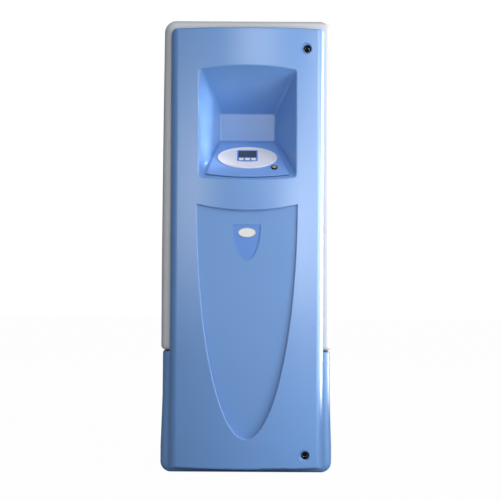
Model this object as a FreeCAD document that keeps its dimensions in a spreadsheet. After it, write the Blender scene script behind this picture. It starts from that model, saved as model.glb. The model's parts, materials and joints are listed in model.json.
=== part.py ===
# Floor-standing laboratory ultrapure water system.
# Millimetres, +Z up. The front faces -Y and the door is hung on the left (-X).
# The origin is on the floor, under the middle of the cabinet.
import FreeCAD, Part
import math
import os
import Sketcher
from FreeCAD import Placement, Rotation, Vector

os.makedirs("parts", exist_ok=True)
doc = FreeCAD.newDocument("UltrapureWaterSystem")
sheet = doc.addObject("Spreadsheet::Sheet", "Sizes")

# Driving dimensions

overall = {
    "cabinetHalf": 325, "frontPlane": -304, "rearPlane": 345, "shellWall": 4, "shellEdgeRadius": 28,
    "overrun": 3, "fitGap": 0.3, "seatGap": 0.1, "shaftGap": 0.05, "touchGap": 0.01, "jointHeight": 4.5,
    "edgeShare": 0.6,
}
cover = {
    "coverStep": 1, "coverLeanMiddle": 3.6, "coverLeanTop": 8.2, "coverBottom": 470, "coverTop": 1720,
    "coverCornerRadius": 45, "coverRimRadius": 16, "lipDepth": 30, "coverFlank": 760,
}
base = {
    "baseLeanTop": 7.5, "baseLeanWaist": 6.5, "baseLeanFlare": 3, "baseBottom": 5,
    "baseCornerRadius": 40, "waistHeight": 300, "flareHeight": 186, "footlineHeight": 105, "baseRimRadius": 6,
    "baseUndersideLip": 50,
}
opening = {
    "openingSide": 75, "openingBottom": 140, "openingTop": 1550, "openingRadius": 20,
    "trimWidth": 6, "trimProud": 3, "gasketInset": 17, "gasketWidth": 8,
}
door = {
    "doorSide": 35, "doorBottom": 33, "doorTop": 1680, "doorBack": -308, "doorFront": -380, "doorSagitta": 40,
    "doorWall": 5, "doorSideRadius": 38, "doorTopRadius": 25, "doorFootRadius": 10, "doorRimRadius": 7,
    "endDeep": 120, "endRise": 97, "endOver": 40, "endUnder": 28, "cornerInset": 32,
}
niche = {
    "nicheBack": -190, "nicheBackHalf": 106.4, "nicheBackTop": 1379.6, "nicheBackBottom": 1274,
    "nicheReach": 200, "nicheSideSpread": 86.8, "nicheCeilingRise": 166, "nicheFloorDrop": 173.8,
    "nicheEdgeRadius": 12, "nicheBackRadius": 8, "nicheRimRadius": 6, "nicheDepthOver": 20,
    "nicheSplit": 345, "faceSamples": 7,
}
relief = {
    "reliefHalf": 187, "reliefTop": 1019.8, "reliefDepth": 24, "reliefHeight": 874, "reliefSagitta": 21,
    "reliefRimRadius": 2.5,
}
badge = {
    "badgeHalf": 52, "badgeTop": 945, "badgeHeight": 133, "badgePocket": 6, "badgeThick": 3,
    "plateHalfWidth": 34, "plateHalfHeight": 18, "plateDrop": 29.5, "plateThick": 2,
}
console = {
    "consoleAngle": 41, "consoleNear": -372, "consoleLength": 220, "consoleThick": 6, "consoleFrontHalf": 156,
    "consoleBackHalf": 106, "consoleSagitta": 16.5, "consoleSetback": 8, "consoleCornerRadius": 8, "consoleEdgeRadius": 1.5,
}
bezel = {
    "bezelHalfWidth": 113, "bezelHalfHeight": 65.5, "bezelCentre": 121.5, "bezelThick": 3, "bezelRim": 7,
    "bezelRimProud": 1.5,
}
display = {
    "frameHalf": 38.5, "frameLow": 99.5, "frameHigh": 166, "frameBulge": 5, "frameProud": 1.2,
    "frameDepth": 5, "windowHalf": 34, "windowLow": 120, "windowHigh": 162, "windowThick": 3,
    "windowSunk": 0.8,
    "displayHoleMargin": 3, "displayHoleDepth": 20,
}
keys = {
    "keyPitch": 23.6, "keyWidth": 17, "keyLength": 12, "keyCentre": 108, "keyProud": 2.2, "keyDepth": 11,
    "keyEdgeRadius": 1, "keyFootMargin": 1.5, "keyFootThick": 2,
}
keySwitch = {
    "switchAcross": 101.5, "switchAlong": 60, "switchRingRadius": 12, "switchRingProud": 2.5,
    "switchBarrelRadius": 7.5, "switchSleeveRadius": 9.5, "switchDepth": 24, "switchSlotWidth": 1.6,
    "switchSlotLength": 10, "switchSlotDepth": 2, "switchSlotAngle": 45, "switchBarrelProud": 1.2,
}
controlBoard = {
    "boardHalf": 90, "boardLow": 84, "boardHigh": 186, "boardThick": 1.6, "boardDrop": 14,
    "boardPostRadius": 4,
    "boardPostInset": 8, "boardPostRoot": 2.5, "switchBoxHalf": 3, "switchBoxHeight": 2, "lcdMargin": 4,
}
locks = {
    "lockSide": 68, "upperLockHeight": 1604, "lowerLockHeight": 82, "lockHoleRadius": 15.5,
    "lockChamferRadius": 21.5, "lockChamferDepth": 6, "lockBossRadius": 20.5, "lockRecess": 35,
    "lockBossFloor": 8, "lockBarrelRadius": 8, "lockHeadRadius": 11, "lockHeadThick": 3,
    "lockKeyholeRadius": 2.5, "camGap": 2, "camThick": 4, "camWidth": 18, "camLength": 32,
    "camSlotMargin": 4, "camCornerRadius": 7,
}
hinge = {
    "hingeInset": 10, "hingePlane": -321, "hingePinRadius": 3, "knuckleRadius": 5, "bracketHeight": 40,
    "bracketArmNear": 9, "bracketArmThick": 6, "bracketFlangeWidth": 13, "bracketFlangeThick": 3,
    "bracketHalfDepth": 3.5, "hingeLow": 200, "hingeMiddle": 860, "hingeHigh": 1490, "earHeight": 14,
    "earWidth": 13, "earDepth": 10, "notchDepth": 12, "hingeGap": 1, "bossReach": 16,
}
frame = {
    "deckBottom": 50, "deckThick": 4, "postSide": 30, "postWall": 2, "postFront": -270,
    "lowRail": 640, "rearRail": 1160, "highRail": 1360, "plateFront": -62, "plateSheet": 4, "plateLow": 60,
    "plateTop": 1690,
}
feet = {
    "footSide": 90, "footFront": -215, "footRear": 265, "footPadRadius": 30, "footPadThick": 4,
    "footDiscThick": 8, "footStudRadius": 6, "footNutRadius": 11, "footNutThick": 8,
}
tank = {
    "tankSideGap": 17.2, "tankFront": -40, "tankRear": 280, "tankTop": 1000, "tankWall": 6, "tankRadius": 30,
    "lidThick": 12, "lidMargin": 6, "lidHoleRadius": 9, "ventRadius": 38, "ventHeight": 90, "ventAcross": 0,
    "ventDepth": 120, "ventNeckRadius": 14, "ventNeckHeight": 14, "sensorAcross": -150, "sensorDepth": 180,
    "sensorRadius": 8, "sensorHeadRadius": 22, "sensorHeadHeight": 34, "sensorBottom": 160, "floatRadius": 20,
    "floatHeight": 40,
}
prefilter = {
    "prefilterAcross": -190, "prefilterDepth": -138, "prefilterRadius": 58, "prefilterLow": 320,
    "prefilterTop": 620, "prefilterHeadRadius": 64, "prefilterHeadHeight": 52, "prefilterDome": 20,
    "bracketWidth": 60,
}
membranes = {
    "membraneRadius": 48, "membraneLow": 320, "membraneHigh": 980, "membraneDepth": -132, "membraneLeft": -62,
    "membraneRight": 50, "membraneCapRadius": 54, "membraneCapHeight": 34, "clipThick": 5, "clipHeight": 24,
    "clipInset": 120,
}
packs = {
    "packRadius": 56, "packDepth": -138, "packRight": 184, "packLeft": -190, "packRightLow": 340,
    "packRightTop": 880, "packLeftLow": 720, "packLeftTop": 1040, "packHeadRadius": 60, "packHeadHeight": 40,
}
uv = {
    "uvRadius": 36, "uvLeft": -210, "uvRight": 110, "uvDepth": -118, "uvHeight": 1250, "uvCapRadius": 42,
    "uvCapLength": 28, "uvClipInset": 70, "filterAcross": 205, "filterDepth": -114, "filterRadius": 34,
    "filterLow": 1180, "filterHigh": 1330, "filterNeckRadius": 12, "filterNeckHeight": 24,
}
pumps = {
    "pumpDepth": -170, "pumpHeight": 150, "motorRadius": 62, "motorLength": 140, "motorEnd": 245,
    "finStart": 18, "finCount": 9, "pumpHeadRadius": 50, "pumpHeadLength": 78, "pumpPortRadius": 14,
    "pumpPortHeight": 30, "footWidth": 96, "finThick": 3, "finDepth": 5, "finPitch": 12,
}
manifold = {
    "manifoldLeft": -215, "manifoldRight": 225, "manifoldLow": 1085, "manifoldHigh": 1130,
    "manifoldFront": -148, "valvePitch": 54, "valveFirst": -24, "valveHalf": 15, "valveLength": 44,
    "regulatorAcross": 190, "regulatorDepth": -110, "regulatorLow": 980, "regulatorHigh": 1040,
    "regulatorRadius": 24, "knobRadius": 21, "knobHeight": 34, "knobStemRadius": 7, "knobGrooveRadius": 2.5,
    "knobGrooves": 12, "gaugeRadius": 26, "gaugeThick": 22, "gaugeStemRadius": 6, "gaugeStemLength": 12,
    "gaugeGlassInset": 3, "gaugeGlassSunk": 2,
}
electronics = {
    "boxSideGap": 10, "boxLow": 1400, "boxHigh": 1640, "boxDepth": 84, "boxWall": 3,
    "lidSheet": 4,
}
rearFittings = {
    "portHeight": 560, "feedAcross": -200, "drainAcross": -80, "returnAcross": 80, "productAcross": 200,
    "largePortRadius": 13.2, "smallPortRadius": 10.5, "portReach": 35, "portWaistStep": 1,
    "portBoreRadius": 7, "portFlangeRadius": 20, "portFlangeThick": 4, "portTail": 12,
    "portTailRadius": 10, "inletAcross": 150, "inletHeight": 1450, "inletHalf": 28, "inletLength": 96,
    "inletProud": 8, "inletTail": 30, "socketHalf": 14, "socketHeight": 24,
    "socketDepth": 20, "socketDrop": 26, "rockerHalf": 9, "rockerLength": 26, "rockerThick": 10,
    "rockerGap": 1.6, "rockerTilt": 9, "rockerRise": 22, "pivotRadius": 2, "pivotReach": 2.5,
}
tubes = {
    "tubeRadius": 6, "tubeBend": 24, "tubeTightBend": 12, "tubeHoleGap": 2, "uvFeedAcross": -100,
    "uvOutletReach": 22, "uvOutletRise": 30,
}
sections = [
    overall, cover, base, opening, door, niche, relief, badge, console, bezel, display, keys, keySwitch,
    controlBoard, locks, hinge, frame, feet, tank, prefilter, membranes, packs, uv, pumps, manifold,
    electronics, rearFittings, tubes,
]

# Sizes that follow from others

followers = {
    "baseHalf": "=cabinetHalf",
    "baseHalfTop": "=cabinetHalf - baseLeanTop",
    "baseHalfWaist": "=cabinetHalf - baseLeanWaist",
    "baseHalfFlare": "=cabinetHalf - baseLeanFlare",
    "coverHalfLow": "=cabinetHalf - coverStep",
    "coverHalfMiddle": "=cabinetHalf - coverLeanMiddle",
    "coverHalfTop": "=cabinetHalf - coverLeanTop",
    "openingHalf": "=cabinetHalf - openingSide",
    "doorHalf": "=cabinetHalf - doorSide",
    "lockAcross": "=cabinetHalf - doorSide - lockSide",
    "cornerSide": "=cabinetHalf - doorSide - lockSide - cornerInset",
    "endTop": "=doorTop - endDeep",
    "endBottom": "=doorBottom + endRise",
    "hingeAcross": "=doorSide + hingeInset - cabinetHalf",
    "postOuter": "=cabinetHalf - baseLeanTop - lipDepth - fitGap",
    "postInner": "=cabinetHalf - baseLeanTop - lipDepth - fitGap - postSide",
    "postRear": "=rearPlane - lipDepth - fitGap",
    "footAcross": "=cabinetHalf - footSide",
    "tankHalf": "=cabinetHalf - baseLeanTop - lipDepth - fitGap - postSide - tankSideGap",
    "boxHalf": "=cabinetHalf - baseLeanTop - lipDepth - fitGap - postSide - tankSideGap - boxSideGap",
}


class Size:
    # A number that remembers the spreadsheet formula it came from.
    def __init__(self, value, formula):
        self.value = float(value)
        self.formula = formula

    def __float__(self):
        return self.value

    def __add__(self, other):
        return Size(self.value + float(other), f"({self.formula} + {formulaOf(other)})")

    def __radd__(self, other):
        return Size(float(other) + self.value, f"({formulaOf(other)} + {self.formula})")

    def __sub__(self, other):
        return Size(self.value - float(other), f"({self.formula} - {formulaOf(other)})")

    def __rsub__(self, other):
        return Size(float(other) - self.value, f"({formulaOf(other)} - {self.formula})")

    def __mul__(self, other):
        return Size(self.value * float(other), f"({self.formula} * {formulaOf(other)})")

    __rmul__ = __mul__

    def __truediv__(self, other):
        return Size(self.value / float(other), f"({self.formula} / {formulaOf(other)})")

    def __neg__(self):
        return Size(-self.value, f"(0 - {self.formula})")


def formulaOf(number):
    return number.formula if isinstance(number, Size) else repr(float(number))


def fillSheet():
    names = []
    for section in sections + [followers]:
        for name, value in section.items():
            names.append(name)
            row = len(names)
            sheet.set(f"A{row}", name)
            sheet.set(f"B{row}", str(value))
            sheet.setAlias(f"B{row}", name)
    doc.recompute()
    return {name: float(sheet.get(name)) for name in names}


class Sizes:
    pass


s = Sizes()
for sizeName, sizeValue in fillSheet().items():
    setattr(s, sizeName, Size(sizeValue, f"Sizes.{sizeName}"))


# Small makers: every length that they take is bound to the sheet

def bind(item, **formulas):
    for name, value in formulas.items():
        item.setExpression(name, formulaOf(value))


def place(item, x, y, z, rotation=None):
    if rotation:
        item.Placement = Placement(Vector(0, 0, 0), rotation)
    item.setExpression("Placement.Base.x", formulaOf(x))
    item.setExpression("Placement.Base.y", formulaOf(y))
    item.setExpression("Placement.Base.z", formulaOf(z))


def block(name, x, y, z):
    item = doc.addObject("Part::Box", name)
    bind(item, Length=x[1] - x[0], Width=y[1] - y[0], Height=z[1] - z[0])
    place(item, x[0], y[0], z[0])
    return item


def axisOf(x, y, z):
    if isinstance(x, tuple):
        return x, (x[0], y, z), Rotation(Vector(0, 1, 0), 90)
    if isinstance(y, tuple):
        return y, (x, y[0], z), Rotation(Vector(1, 0, 0), -90)
    return z, (x, y, z[0]), None


def rod(name, radius, x, y, z):
    span, start, rotation = axisOf(x, y, z)
    item = doc.addObject("Part::Cylinder", name)
    bind(item, Radius=radius, Height=span[1] - span[0])
    place(item, *start, rotation)
    return item


def cone(name, radii, x, y, z):
    span, start, rotation = axisOf(x, y, z)
    item = doc.addObject("Part::Cone", name)
    bind(item, Radius1=radii[0], Radius2=radii[1], Height=span[1] - span[0])
    place(item, *start, rotation)
    return item


def fuse(name, *items):
    item = doc.addObject("Part::MultiFuse", name)
    item.Shapes = list(items)
    return item


def cut(name, body, *tools):
    item = doc.addObject("Part::Cut", name)
    item.Base = body
    item.Tool = tools[0] if len(tools) == 1 else fuse(f"{name}_tools", *tools)
    return item


def group(name, *items):
    item = doc.addObject("Part::Compound", name)
    item.Links = list(items)
    return item


def feature(name, shape, placement=None):
    item = doc.addObject("Part::Feature", name)
    item.Shape = shape
    if placement:
        item.Placement = placement
    return item


subParts = []


def subPart(name, item):
    item.Label = name
    subParts.append(item)
    return item


# Shapes with curved outlines, from the sheet's values

def within(value, target):
    return abs(float(value) - float(target)) < float(s.touchGap)


def upright(edge):
    return within(abs(edge.tangentAt(edge.FirstParameter).z), 1)


def inward(edge):
    return within(abs(edge.tangentAt(edge.FirstParameter).y), 1)


def point(x, y, z):
    return Vector(float(x), float(y), float(z))


def line(first, second):
    return Part.LineSegment(first, second).toShape()


def arc(first, middle, last):
    return Part.Arc(first, middle, last).toShape()


def solidOf(edges, direction):
    return Part.Face(Part.Wire(Part.sortEdges(edges)[0])).extrude(direction)


def cornerMiddle(centre, radius, across, up):
    share = math.sqrt(0.5)
    return centre + Vector(across * radius * share, 0, up * radius * share)


def mirrored(edges):
    return [edge.mirror(Vector(0, 0, 0), Vector(1, 0, 0)) for edge in edges]


def roundFront(solid, front, radius, bottom):
    # Rounds the front face's edges, but not one that lies in the bottom plane.
    edges = []
    for edge in solid.Edges:
        box = edge.BoundBox
        if within(box.YMax, front) and within(box.YMin, front):
            if box.ZMax > bottom + float(s.touchGap):
                edges.append(edge)
    return solid.makeFillet(radius, edges)


def roundLevel(solid, level, radius, rear):
    # Rounds the edges in one level plane, but not the one along the rear.
    edges = []
    for edge in solid.Edges:
        box = edge.BoundBox
        if within(box.ZMax, level) and within(box.ZMin, level) and box.YMin < rear - float(s.touchGap):
            edges.append(edge)
    return solid.makeFillet(radius, edges)


def coverBlock(inset, rear):
    inset = float(inset)
    bottom = float(s.coverBottom) + inset
    top = float(s.coverTop) - inset
    radius = float(s.coverCornerRadius) - inset
    low = float(s.coverHalfLow) - inset
    high = float(s.coverHalfTop) - inset
    middle = float(s.coverHalfMiddle) - inset
    front = float(s.frontPlane) + inset
    shoulder = top - radius
    flank = float(s.coverFlank)
    half = [
        line(Vector(low, front, bottom), Vector(low, front, flank)),
        arc(
            Vector(low, front, flank),
            Vector(middle, front, (flank + shoulder) / 2),
            Vector(high, front, shoulder),
        ),
        arc(
            Vector(high, front, shoulder),
            cornerMiddle(Vector(high - radius, front, shoulder), radius, 1, 1),
            Vector(high - radius, front, top),
        ),
    ]
    level = [
        line(Vector(-low, front, bottom), Vector(low, front, bottom)),
        line(Vector(radius - high, front, top), Vector(high - radius, front, top)),
    ]
    solid = solidOf(half + mirrored(half) + level, Vector(0, float(rear) - front, 0))
    solid = roundFront(solid, front, float(s.shellEdgeRadius) - inset, bottom)
    return roundLevel(solid, bottom, float(s.coverRimRadius) - inset, float(rear))


def baseBlock(inset, rear):
    inset = float(inset)
    bottom = float(s.baseBottom) + inset
    top = float(s.coverBottom - s.jointHeight) - inset
    radius = float(s.baseCornerRadius) - inset
    wide = float(s.baseHalf) - inset
    front = float(s.frontPlane) + inset
    waist = Vector(float(s.baseHalfWaist) - inset, front, float(s.waistHeight))
    flare = Vector(float(s.baseHalfFlare) - inset, front, float(s.flareHeight))
    footline = Vector(wide, front, float(s.footlineHeight))
    half = [
        line(Vector(float(s.baseHalfTop) - inset, front, top), waist),
        arc(waist, flare, footline),
        line(footline, Vector(wide, front, bottom + radius)),
        arc(
            Vector(wide, front, bottom + radius),
            cornerMiddle(Vector(wide - radius, front, bottom + radius), radius, 1, -1),
            Vector(wide - radius, front, bottom),
        ),
    ]
    level = [
        line(
            Vector(inset - float(s.baseHalfTop), front, top),
            Vector(float(s.baseHalfTop) - inset, front, top),
        ),
        line(Vector(radius - wide, front, bottom), Vector(wide - radius, front, bottom)),
    ]
    solid = solidOf(half + mirrored(half) + level, Vector(0, float(rear) - front, 0))
    chosen = []
    for edge in solid.Edges:
        box = edge.BoundBox
        if within(box.YMax, front) and box.ZMin < top - float(s.touchGap):
            chosen.append(edge)
    solid = solid.makeFillet(float(s.shellEdgeRadius) - inset, chosen)
    return roundLevel(solid, top, float(s.baseRimRadius) - inset, float(rear))


def boxOf(x, y, z):
    corner = point(x[0], y[0], z[0])
    return Part.makeBox(float(x[1] - x[0]), float(y[1] - y[0]), float(z[1] - z[0]), corner)


def frontOpening():
    box = boxOf(
        (-s.openingHalf, s.openingHalf),
        (s.frontPlane - s.overrun, s.frontPlane + s.shellWall + s.overrun),
        (s.openingBottom, s.openingTop),
    )
    corners = [edge for edge in box.Edges if inward(edge)]
    return box.makeFillet(float(s.openingRadius), corners)


def keeperSlot(height):
    reach = s.lockBarrelRadius + s.camSlotMargin
    return boxOf(
        (s.lockAcross - reach - s.camSlotMargin, s.lockAcross + reach + s.camSlotMargin),
        (s.frontPlane - s.overrun, s.frontPlane + s.shellWall + s.overrun),
        (height - reach - s.camSlotMargin, height + s.camLength + s.camSlotMargin),
    )


def lipOpening(half, low, high, rear):
    return boxOf((s.lipDepth - half, half - s.lipDepth), (s.frontPlane + s.lipDepth, rear), (low, high))


def makeUpperCover():
    rear = s.rearPlane - s.shellWall
    shell = coverBlock(0, rear)
    shell = shell.cut(coverBlock(s.shellWall, rear + s.overrun))
    lip = lipOpening(
        s.coverHalfLow,
        s.coverBottom - s.overrun,
        s.coverBottom + s.coverRimRadius,
        rear + s.overrun,
    )
    return feature("upper_cover", shell.cut([lip, frontOpening(), keeperSlot(s.upperLockHeight)]))


def makeBaseHousing():
    shell = baseBlock(0, s.rearPlane)
    shell = shell.cut(baseBlock(s.shellWall, s.rearPlane - s.shellWall))
    top = s.coverBottom - s.jointHeight
    lip = lipOpening(s.baseHalfTop, top - s.coverRimRadius, top + s.overrun, s.rearPlane - s.lipDepth)
    reach = s.baseHalf - s.baseUndersideLip
    under = boxOf(
        (-reach, reach),
        (s.frontPlane + s.baseUndersideLip, s.rearPlane - s.lipDepth),
        (s.baseBottom - s.overrun, s.baseBottom + s.shellWall + s.overrun),
    )
    return feature("base_housing", shell.cut([lip, under, frontOpening(), keeperSlot(s.lowerLockHeight)]))


def makeRearPanel():
    rear = coverBlock(0, s.rearPlane)
    slab = boxOf(
        (-s.coverHalfLow, s.coverHalfLow),
        (s.rearPlane - s.shellWall, s.rearPlane),
        (s.coverBottom, s.coverTop),
    )
    holes = []
    for across, radius in rearPorts():
        holes.append(Part.makeCylinder(
            float(radius - s.portWaistStep + s.shaftGap),
            float(s.shellWall + 2 * s.overrun),
            point(across, s.rearPlane - s.shellWall - s.overrun, s.portHeight),
            Vector(0, 1, 0),
        ))
    holes.append(boxOf(
        (s.inletAcross - s.inletHalf + s.inletProud, s.inletAcross + s.inletHalf - s.inletProud),
        (s.rearPlane - s.shellWall - s.overrun, s.rearPlane + s.overrun),
        (s.inletHeight - s.inletLength / 2 + s.inletProud, s.inletHeight + s.inletLength / 2 - s.inletProud),
    ))
    return feature("rear_panel", rear.common(slab).cut(holes))


def rearPorts():
    return [
        (s.feedAcross, s.largePortRadius),
        (s.drainAcross, s.smallPortRadius),
        (s.returnAcross, s.largePortRadius),
        (s.productAcross, s.largePortRadius),
    ]


def makeJointGasket():
    def ring(inset):
        half = s.baseHalfTop - inset
        return (-half, half), (s.frontPlane + inset, s.rearPlane - s.shellWall - inset)

    level = (s.coverBottom - s.jointHeight, s.coverBottom)
    outer = block("gasketOuter", *ring(s.gasketInset), level)
    inside = s.gasketInset + s.gasketWidth
    inner = block("gasketInner", *ring(inside), (level[0] - s.overrun, level[1] + s.overrun))
    return cut("joint_gasket", outer, inner)


def makeDoorSeal():
    def ring(inset, reach):
        span = (s.frontPlane - s.trimProud - reach, s.frontPlane + s.shellWall + s.trimProud + reach)
        box = boxOf(
            (inset - s.openingHalf, s.openingHalf - inset),
            span,
            (s.openingBottom + inset, s.openingTop - inset),
        )
        corners = [edge for edge in box.Edges if inward(edge)]
        return box.makeFillet(float(s.openingRadius - inset), corners)

    return feature("door_seal", ring(0, 0).cut(ring(s.trimWidth, s.overrun)))


# The door

def bowRadius():
    return (float(s.doorHalf) ** 2 + float(s.doorSagitta) ** 2) / (2 * float(s.doorSagitta))


def bowPlane(across):
    # Depth of the door's bowed face at a distance from the middle.
    radius = bowRadius()
    return float(s.doorFront) + radius - math.sqrt(radius ** 2 - float(across) ** 2)


def doorProfile(inset, back, low, high):
    inset = float(inset)
    radius = bowRadius() - inset
    side = float(s.doorSideRadius) - inset
    half = float(s.doorHalf) - inset
    bowCentre = float(s.doorFront) + bowRadius()
    across = half - side
    depth = bowCentre - math.sqrt((radius - side) ** 2 - across ** 2)
    share = radius / (radius - side)
    tangent = Vector(across * share, bowCentre - (bowCentre - depth) * share, 0)
    turn = Vector(half, depth, 0)
    chord = (tangent + turn) / 2 - Vector(across, depth, 0)
    middle = Vector(across, depth, 0) + chord * (side / chord.Length)
    right = [line(Vector(half, float(back), 0), turn), arc(turn, middle, tangent)]
    front = arc(tangent, Vector(0, bowCentre - radius, 0), Vector(-tangent.x, tangent.y, 0))
    rear = line(Vector(-half, float(back), 0), Vector(half, float(back), 0))
    solid = solidOf(right + mirrored(right) + [front, rear], Vector(0, 0, float(high) - float(low)))
    return solid.translated(Vector(0, 0, float(low)))


def doorDrum():
    # A drum whose side is the bowed face, with its top and bottom rims rounded.
    radius = bowRadius()
    centre = Vector(0, float(s.doorFront) + radius, float(s.doorBottom))
    drum = Part.makeCylinder(radius, float(s.doorTop - s.doorBottom), centre)
    rims = [edge for edge in drum.Edges if edge.BoundBox.ZLength < float(s.doorRimRadius)]
    return drum.makeFillet(float(s.doorRimRadius), rims)


def doorOutline(inset, far):
    inset = float(inset)
    half = float(s.doorHalf) - inset
    low = float(s.doorBottom) + inset
    high = float(s.doorTop) - inset
    topRadius = float(s.doorTopRadius) - inset
    footRadius = float(s.doorFootRadius) - inset
    near = float(s.doorFront - s.overrun)
    edges = [
        line(Vector(half, near, low + footRadius), Vector(half, near, high - topRadius)),
        arc(
            Vector(half, near, high - topRadius),
            cornerMiddle(Vector(half - topRadius, near, high - topRadius), topRadius, 1, 1),
            Vector(half - topRadius, near, high),
        ),
        arc(
            Vector(half, near, low + footRadius),
            cornerMiddle(Vector(half - footRadius, near, low + footRadius), footRadius, 1, -1),
            Vector(half - footRadius, near, low),
        ),
    ]
    level = [
        line(Vector(topRadius - half, near, high), Vector(half - topRadius, near, high)),
        line(Vector(footRadius - half, near, low), Vector(half - footRadius, near, low)),
    ]
    return solidOf(edges + mirrored(edges) + level, Vector(0, float(far) - near, 0))


def nicheFunnel(grown):
    # The funnel grown outwards by a wall, from its back plane to past the door's face.
    grown = float(grown)
    reach = float(s.nicheReach)
    spread = float(s.nicheSideSpread) / reach
    rise = float(s.nicheCeilingRise) / reach
    drop = float(s.nicheFloorDrop) / reach

    def loop(depth):
        forward = float(s.nicheBack) - depth
        half = float(s.nicheBackHalf) + spread * forward + grown * math.hypot(1, spread)
        high = float(s.nicheBackTop) + rise * forward + grown * math.hypot(1, rise)
        low = float(s.nicheBackBottom) - drop * forward - grown * math.hypot(1, drop)
        corners = [(-half, low), (half, low), (half, high), (-half, high), (-half, low)]
        return Part.makePolygon([Vector(x, depth, z) for x, z in corners])

    solid = Part.makeLoft([loop(float(s.nicheBack) + grown), loop(float(s.nicheBack) - reach)], True, True)
    back = float(s.nicheBack) + grown
    long = [edge for edge in solid.Edges if edge.BoundBox.YLength > reach / 2]
    solid = solid.makeFillet(float(s.nicheEdgeRadius) + grown, long)
    rear = []
    for edge in solid.Edges:
        box = edge.BoundBox
        if within(box.YMin, back) and within(box.YMax, back):
            rear.append(edge)
    return solid.makeFillet(float(s.nicheBackRadius) + grown, rear)


def lowerHalf(ellipse, centre, half):
    # The half of the ellipse that hangs below its level axis.
    ends = [ellipse.parameter(centre + Vector(side * half, 0, 0)) for side in sides()]
    arcs = [Part.Arc(ellipse, *ends).toShape(), Part.Arc(ellipse, *reversed(ends)).toShape()]
    return min(arcs, key=lambda edge: edge.BoundBox.ZMax)


def reliefPrism(grown, floor):
    # Half an ellipse below an arched top, cut or backed from the face to a flat floor.
    grown = float(grown)
    half = float(s.reliefHalf) + grown
    top = float(s.reliefTop) + grown
    height = float(s.reliefHeight) + 2 * grown
    near = float(s.doorFront - s.overrun)
    centre = Vector(0, near, top)
    ellipse = Part.Ellipse(centre - Vector(0, 0, height), centre - Vector(half, 0, 0), centre)
    lower = lowerHalf(ellipse, centre, half)
    upper = arc(
        centre - Vector(half, 0, 0),
        centre - Vector(0, 0, float(s.reliefSagitta)),
        centre + Vector(half, 0, 0),
    )
    return solidOf([lower, upper], Vector(0, float(floor) - near, 0))


def shieldPrism(shrunk, near, far):
    # The badge's outline: half an ellipse below a level top.
    half = float(s.badgeHalf - shrunk)
    height = float(s.badgeHeight - 2 * shrunk)
    centre = Vector(0, float(near), float(s.badgeTop - shrunk))
    ellipse = Part.Ellipse(centre - Vector(0, 0, height), centre - Vector(half, 0, 0), centre)
    ends = (centre + Vector(half, 0, 0), centre - Vector(half, 0, 0))
    return solidOf([lowerHalf(ellipse, centre, half), line(*ends)], Vector(0, float(far - near), 0))


def frontRod(radius, across, height, near, far):
    length = float(far) - float(near)
    return Part.makeCylinder(float(radius), length, point(across, near, height), Vector(0, 1, 0))


def lockPlane():
    # Depth of the lock barrel's seat, measured in from the door's face.
    return bowPlane(s.lockAcross) + float(s.lockRecess)


def hingeHeights():
    return [s.hingeLow, s.hingeMiddle, s.hingeHigh]


def upRod(radius, low, high):
    return Part.makeCylinder(float(radius), float(high) - float(low), point(s.hingeAcross, s.hingePlane, low))


def hingeEars():
    ears = []
    for height in hingeHeights():
        for side in (-1, 1):
            near = height + side * (s.bracketHeight / 2 + s.hingeGap)
            far = near + side * s.earHeight
            low, high = (far, near) if side < 0 else (near, far)
            ears.append(boxOf(
                (s.hingeAcross - s.earWidth / 2, s.hingeAcross + s.earWidth / 2),
                (s.hingePlane - s.bossReach, s.hingePlane + s.earDepth),
                (low, high),
            ))
    return ears


def hingeCuts():
    cuts = []
    for height in hingeHeights():
        low = height - s.bracketHeight / 2 - s.hingeGap
        high = height + s.bracketHeight / 2 + s.hingeGap
        cuts.append(upRod(s.hingePinRadius + s.shaftGap, low - s.earHeight - s.overrun, high + s.earHeight))
        cuts.append(upRod(s.knuckleRadius + s.hingeGap / 2, low, high))
        cuts.append(boxOf(
            (-s.doorHalf - s.overrun, s.hingeAcross),
            (s.doorBack - s.notchDepth, s.doorBack + s.overrun),
            (low, high),
        ))
    return cuts


def consolePlacement(lift):
    # Local X runs across, Y up the slope from the console's front edge, Z out of its face.
    angle = math.radians(float(s.consoleAngle))
    lift = float(lift)
    origin = Vector(0, float(s.consoleNear) - lift * math.sin(angle), consoleHeight() + lift * math.cos(angle))
    return Placement(origin, Rotation(Vector(1, 0, 0), float(s.consoleAngle)))


def consoleHeight():
    # Height of the niche floor under the console's front edge.
    drop = float(s.nicheFloorDrop) / float(s.nicheReach)
    return float(s.nicheBackBottom) - drop * (float(s.nicheBack) - float(s.consoleNear))


def tilted(shape):
    moved = shape.copy()
    moved.Placement = consolePlacement(0).multiply(moved.Placement)
    return moved


def displayHole():
    half = s.frameHalf + s.displayHoleMargin
    return boxOf(
        (-half, half),
        (s.frameLow - s.frameBulge - s.displayHoleMargin, s.frameHigh + s.displayHoleMargin),
        (-s.displayHoleDepth, s.consoleThick + s.overrun),
    )


def switchHole(radius):
    return Part.makeCylinder(
        float(radius),
        float(s.switchDepth + s.consoleThick + s.overrun),
        point(s.switchAcross, s.switchAlong, -s.switchDepth),
    )


def boardPosts(low, high, radius):
    posts = []
    for across in (s.boardPostInset - s.boardHalf, s.boardHalf - s.boardPostInset):
        for along in (s.boardLow + s.boardPostInset, s.boardHigh - s.boardPostInset):
            posts.append(Part.makeCylinder(float(radius), float(high) - float(low), point(across, along, low)))
    return posts


def onFace(edge, low, high):
    # Whether an edge lies on the bowed face, all between two heights.
    span = edge.LastParameter - edge.FirstParameter
    count = int(float(s.faceSamples))
    for n in range(count):
        spot = edge.valueAt(edge.FirstParameter + span * n / (count - 1))
        if not within(spot.y, bowPlane(spot.x)) or not float(low) < spot.z < float(high):
            return False
    return True


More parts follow.
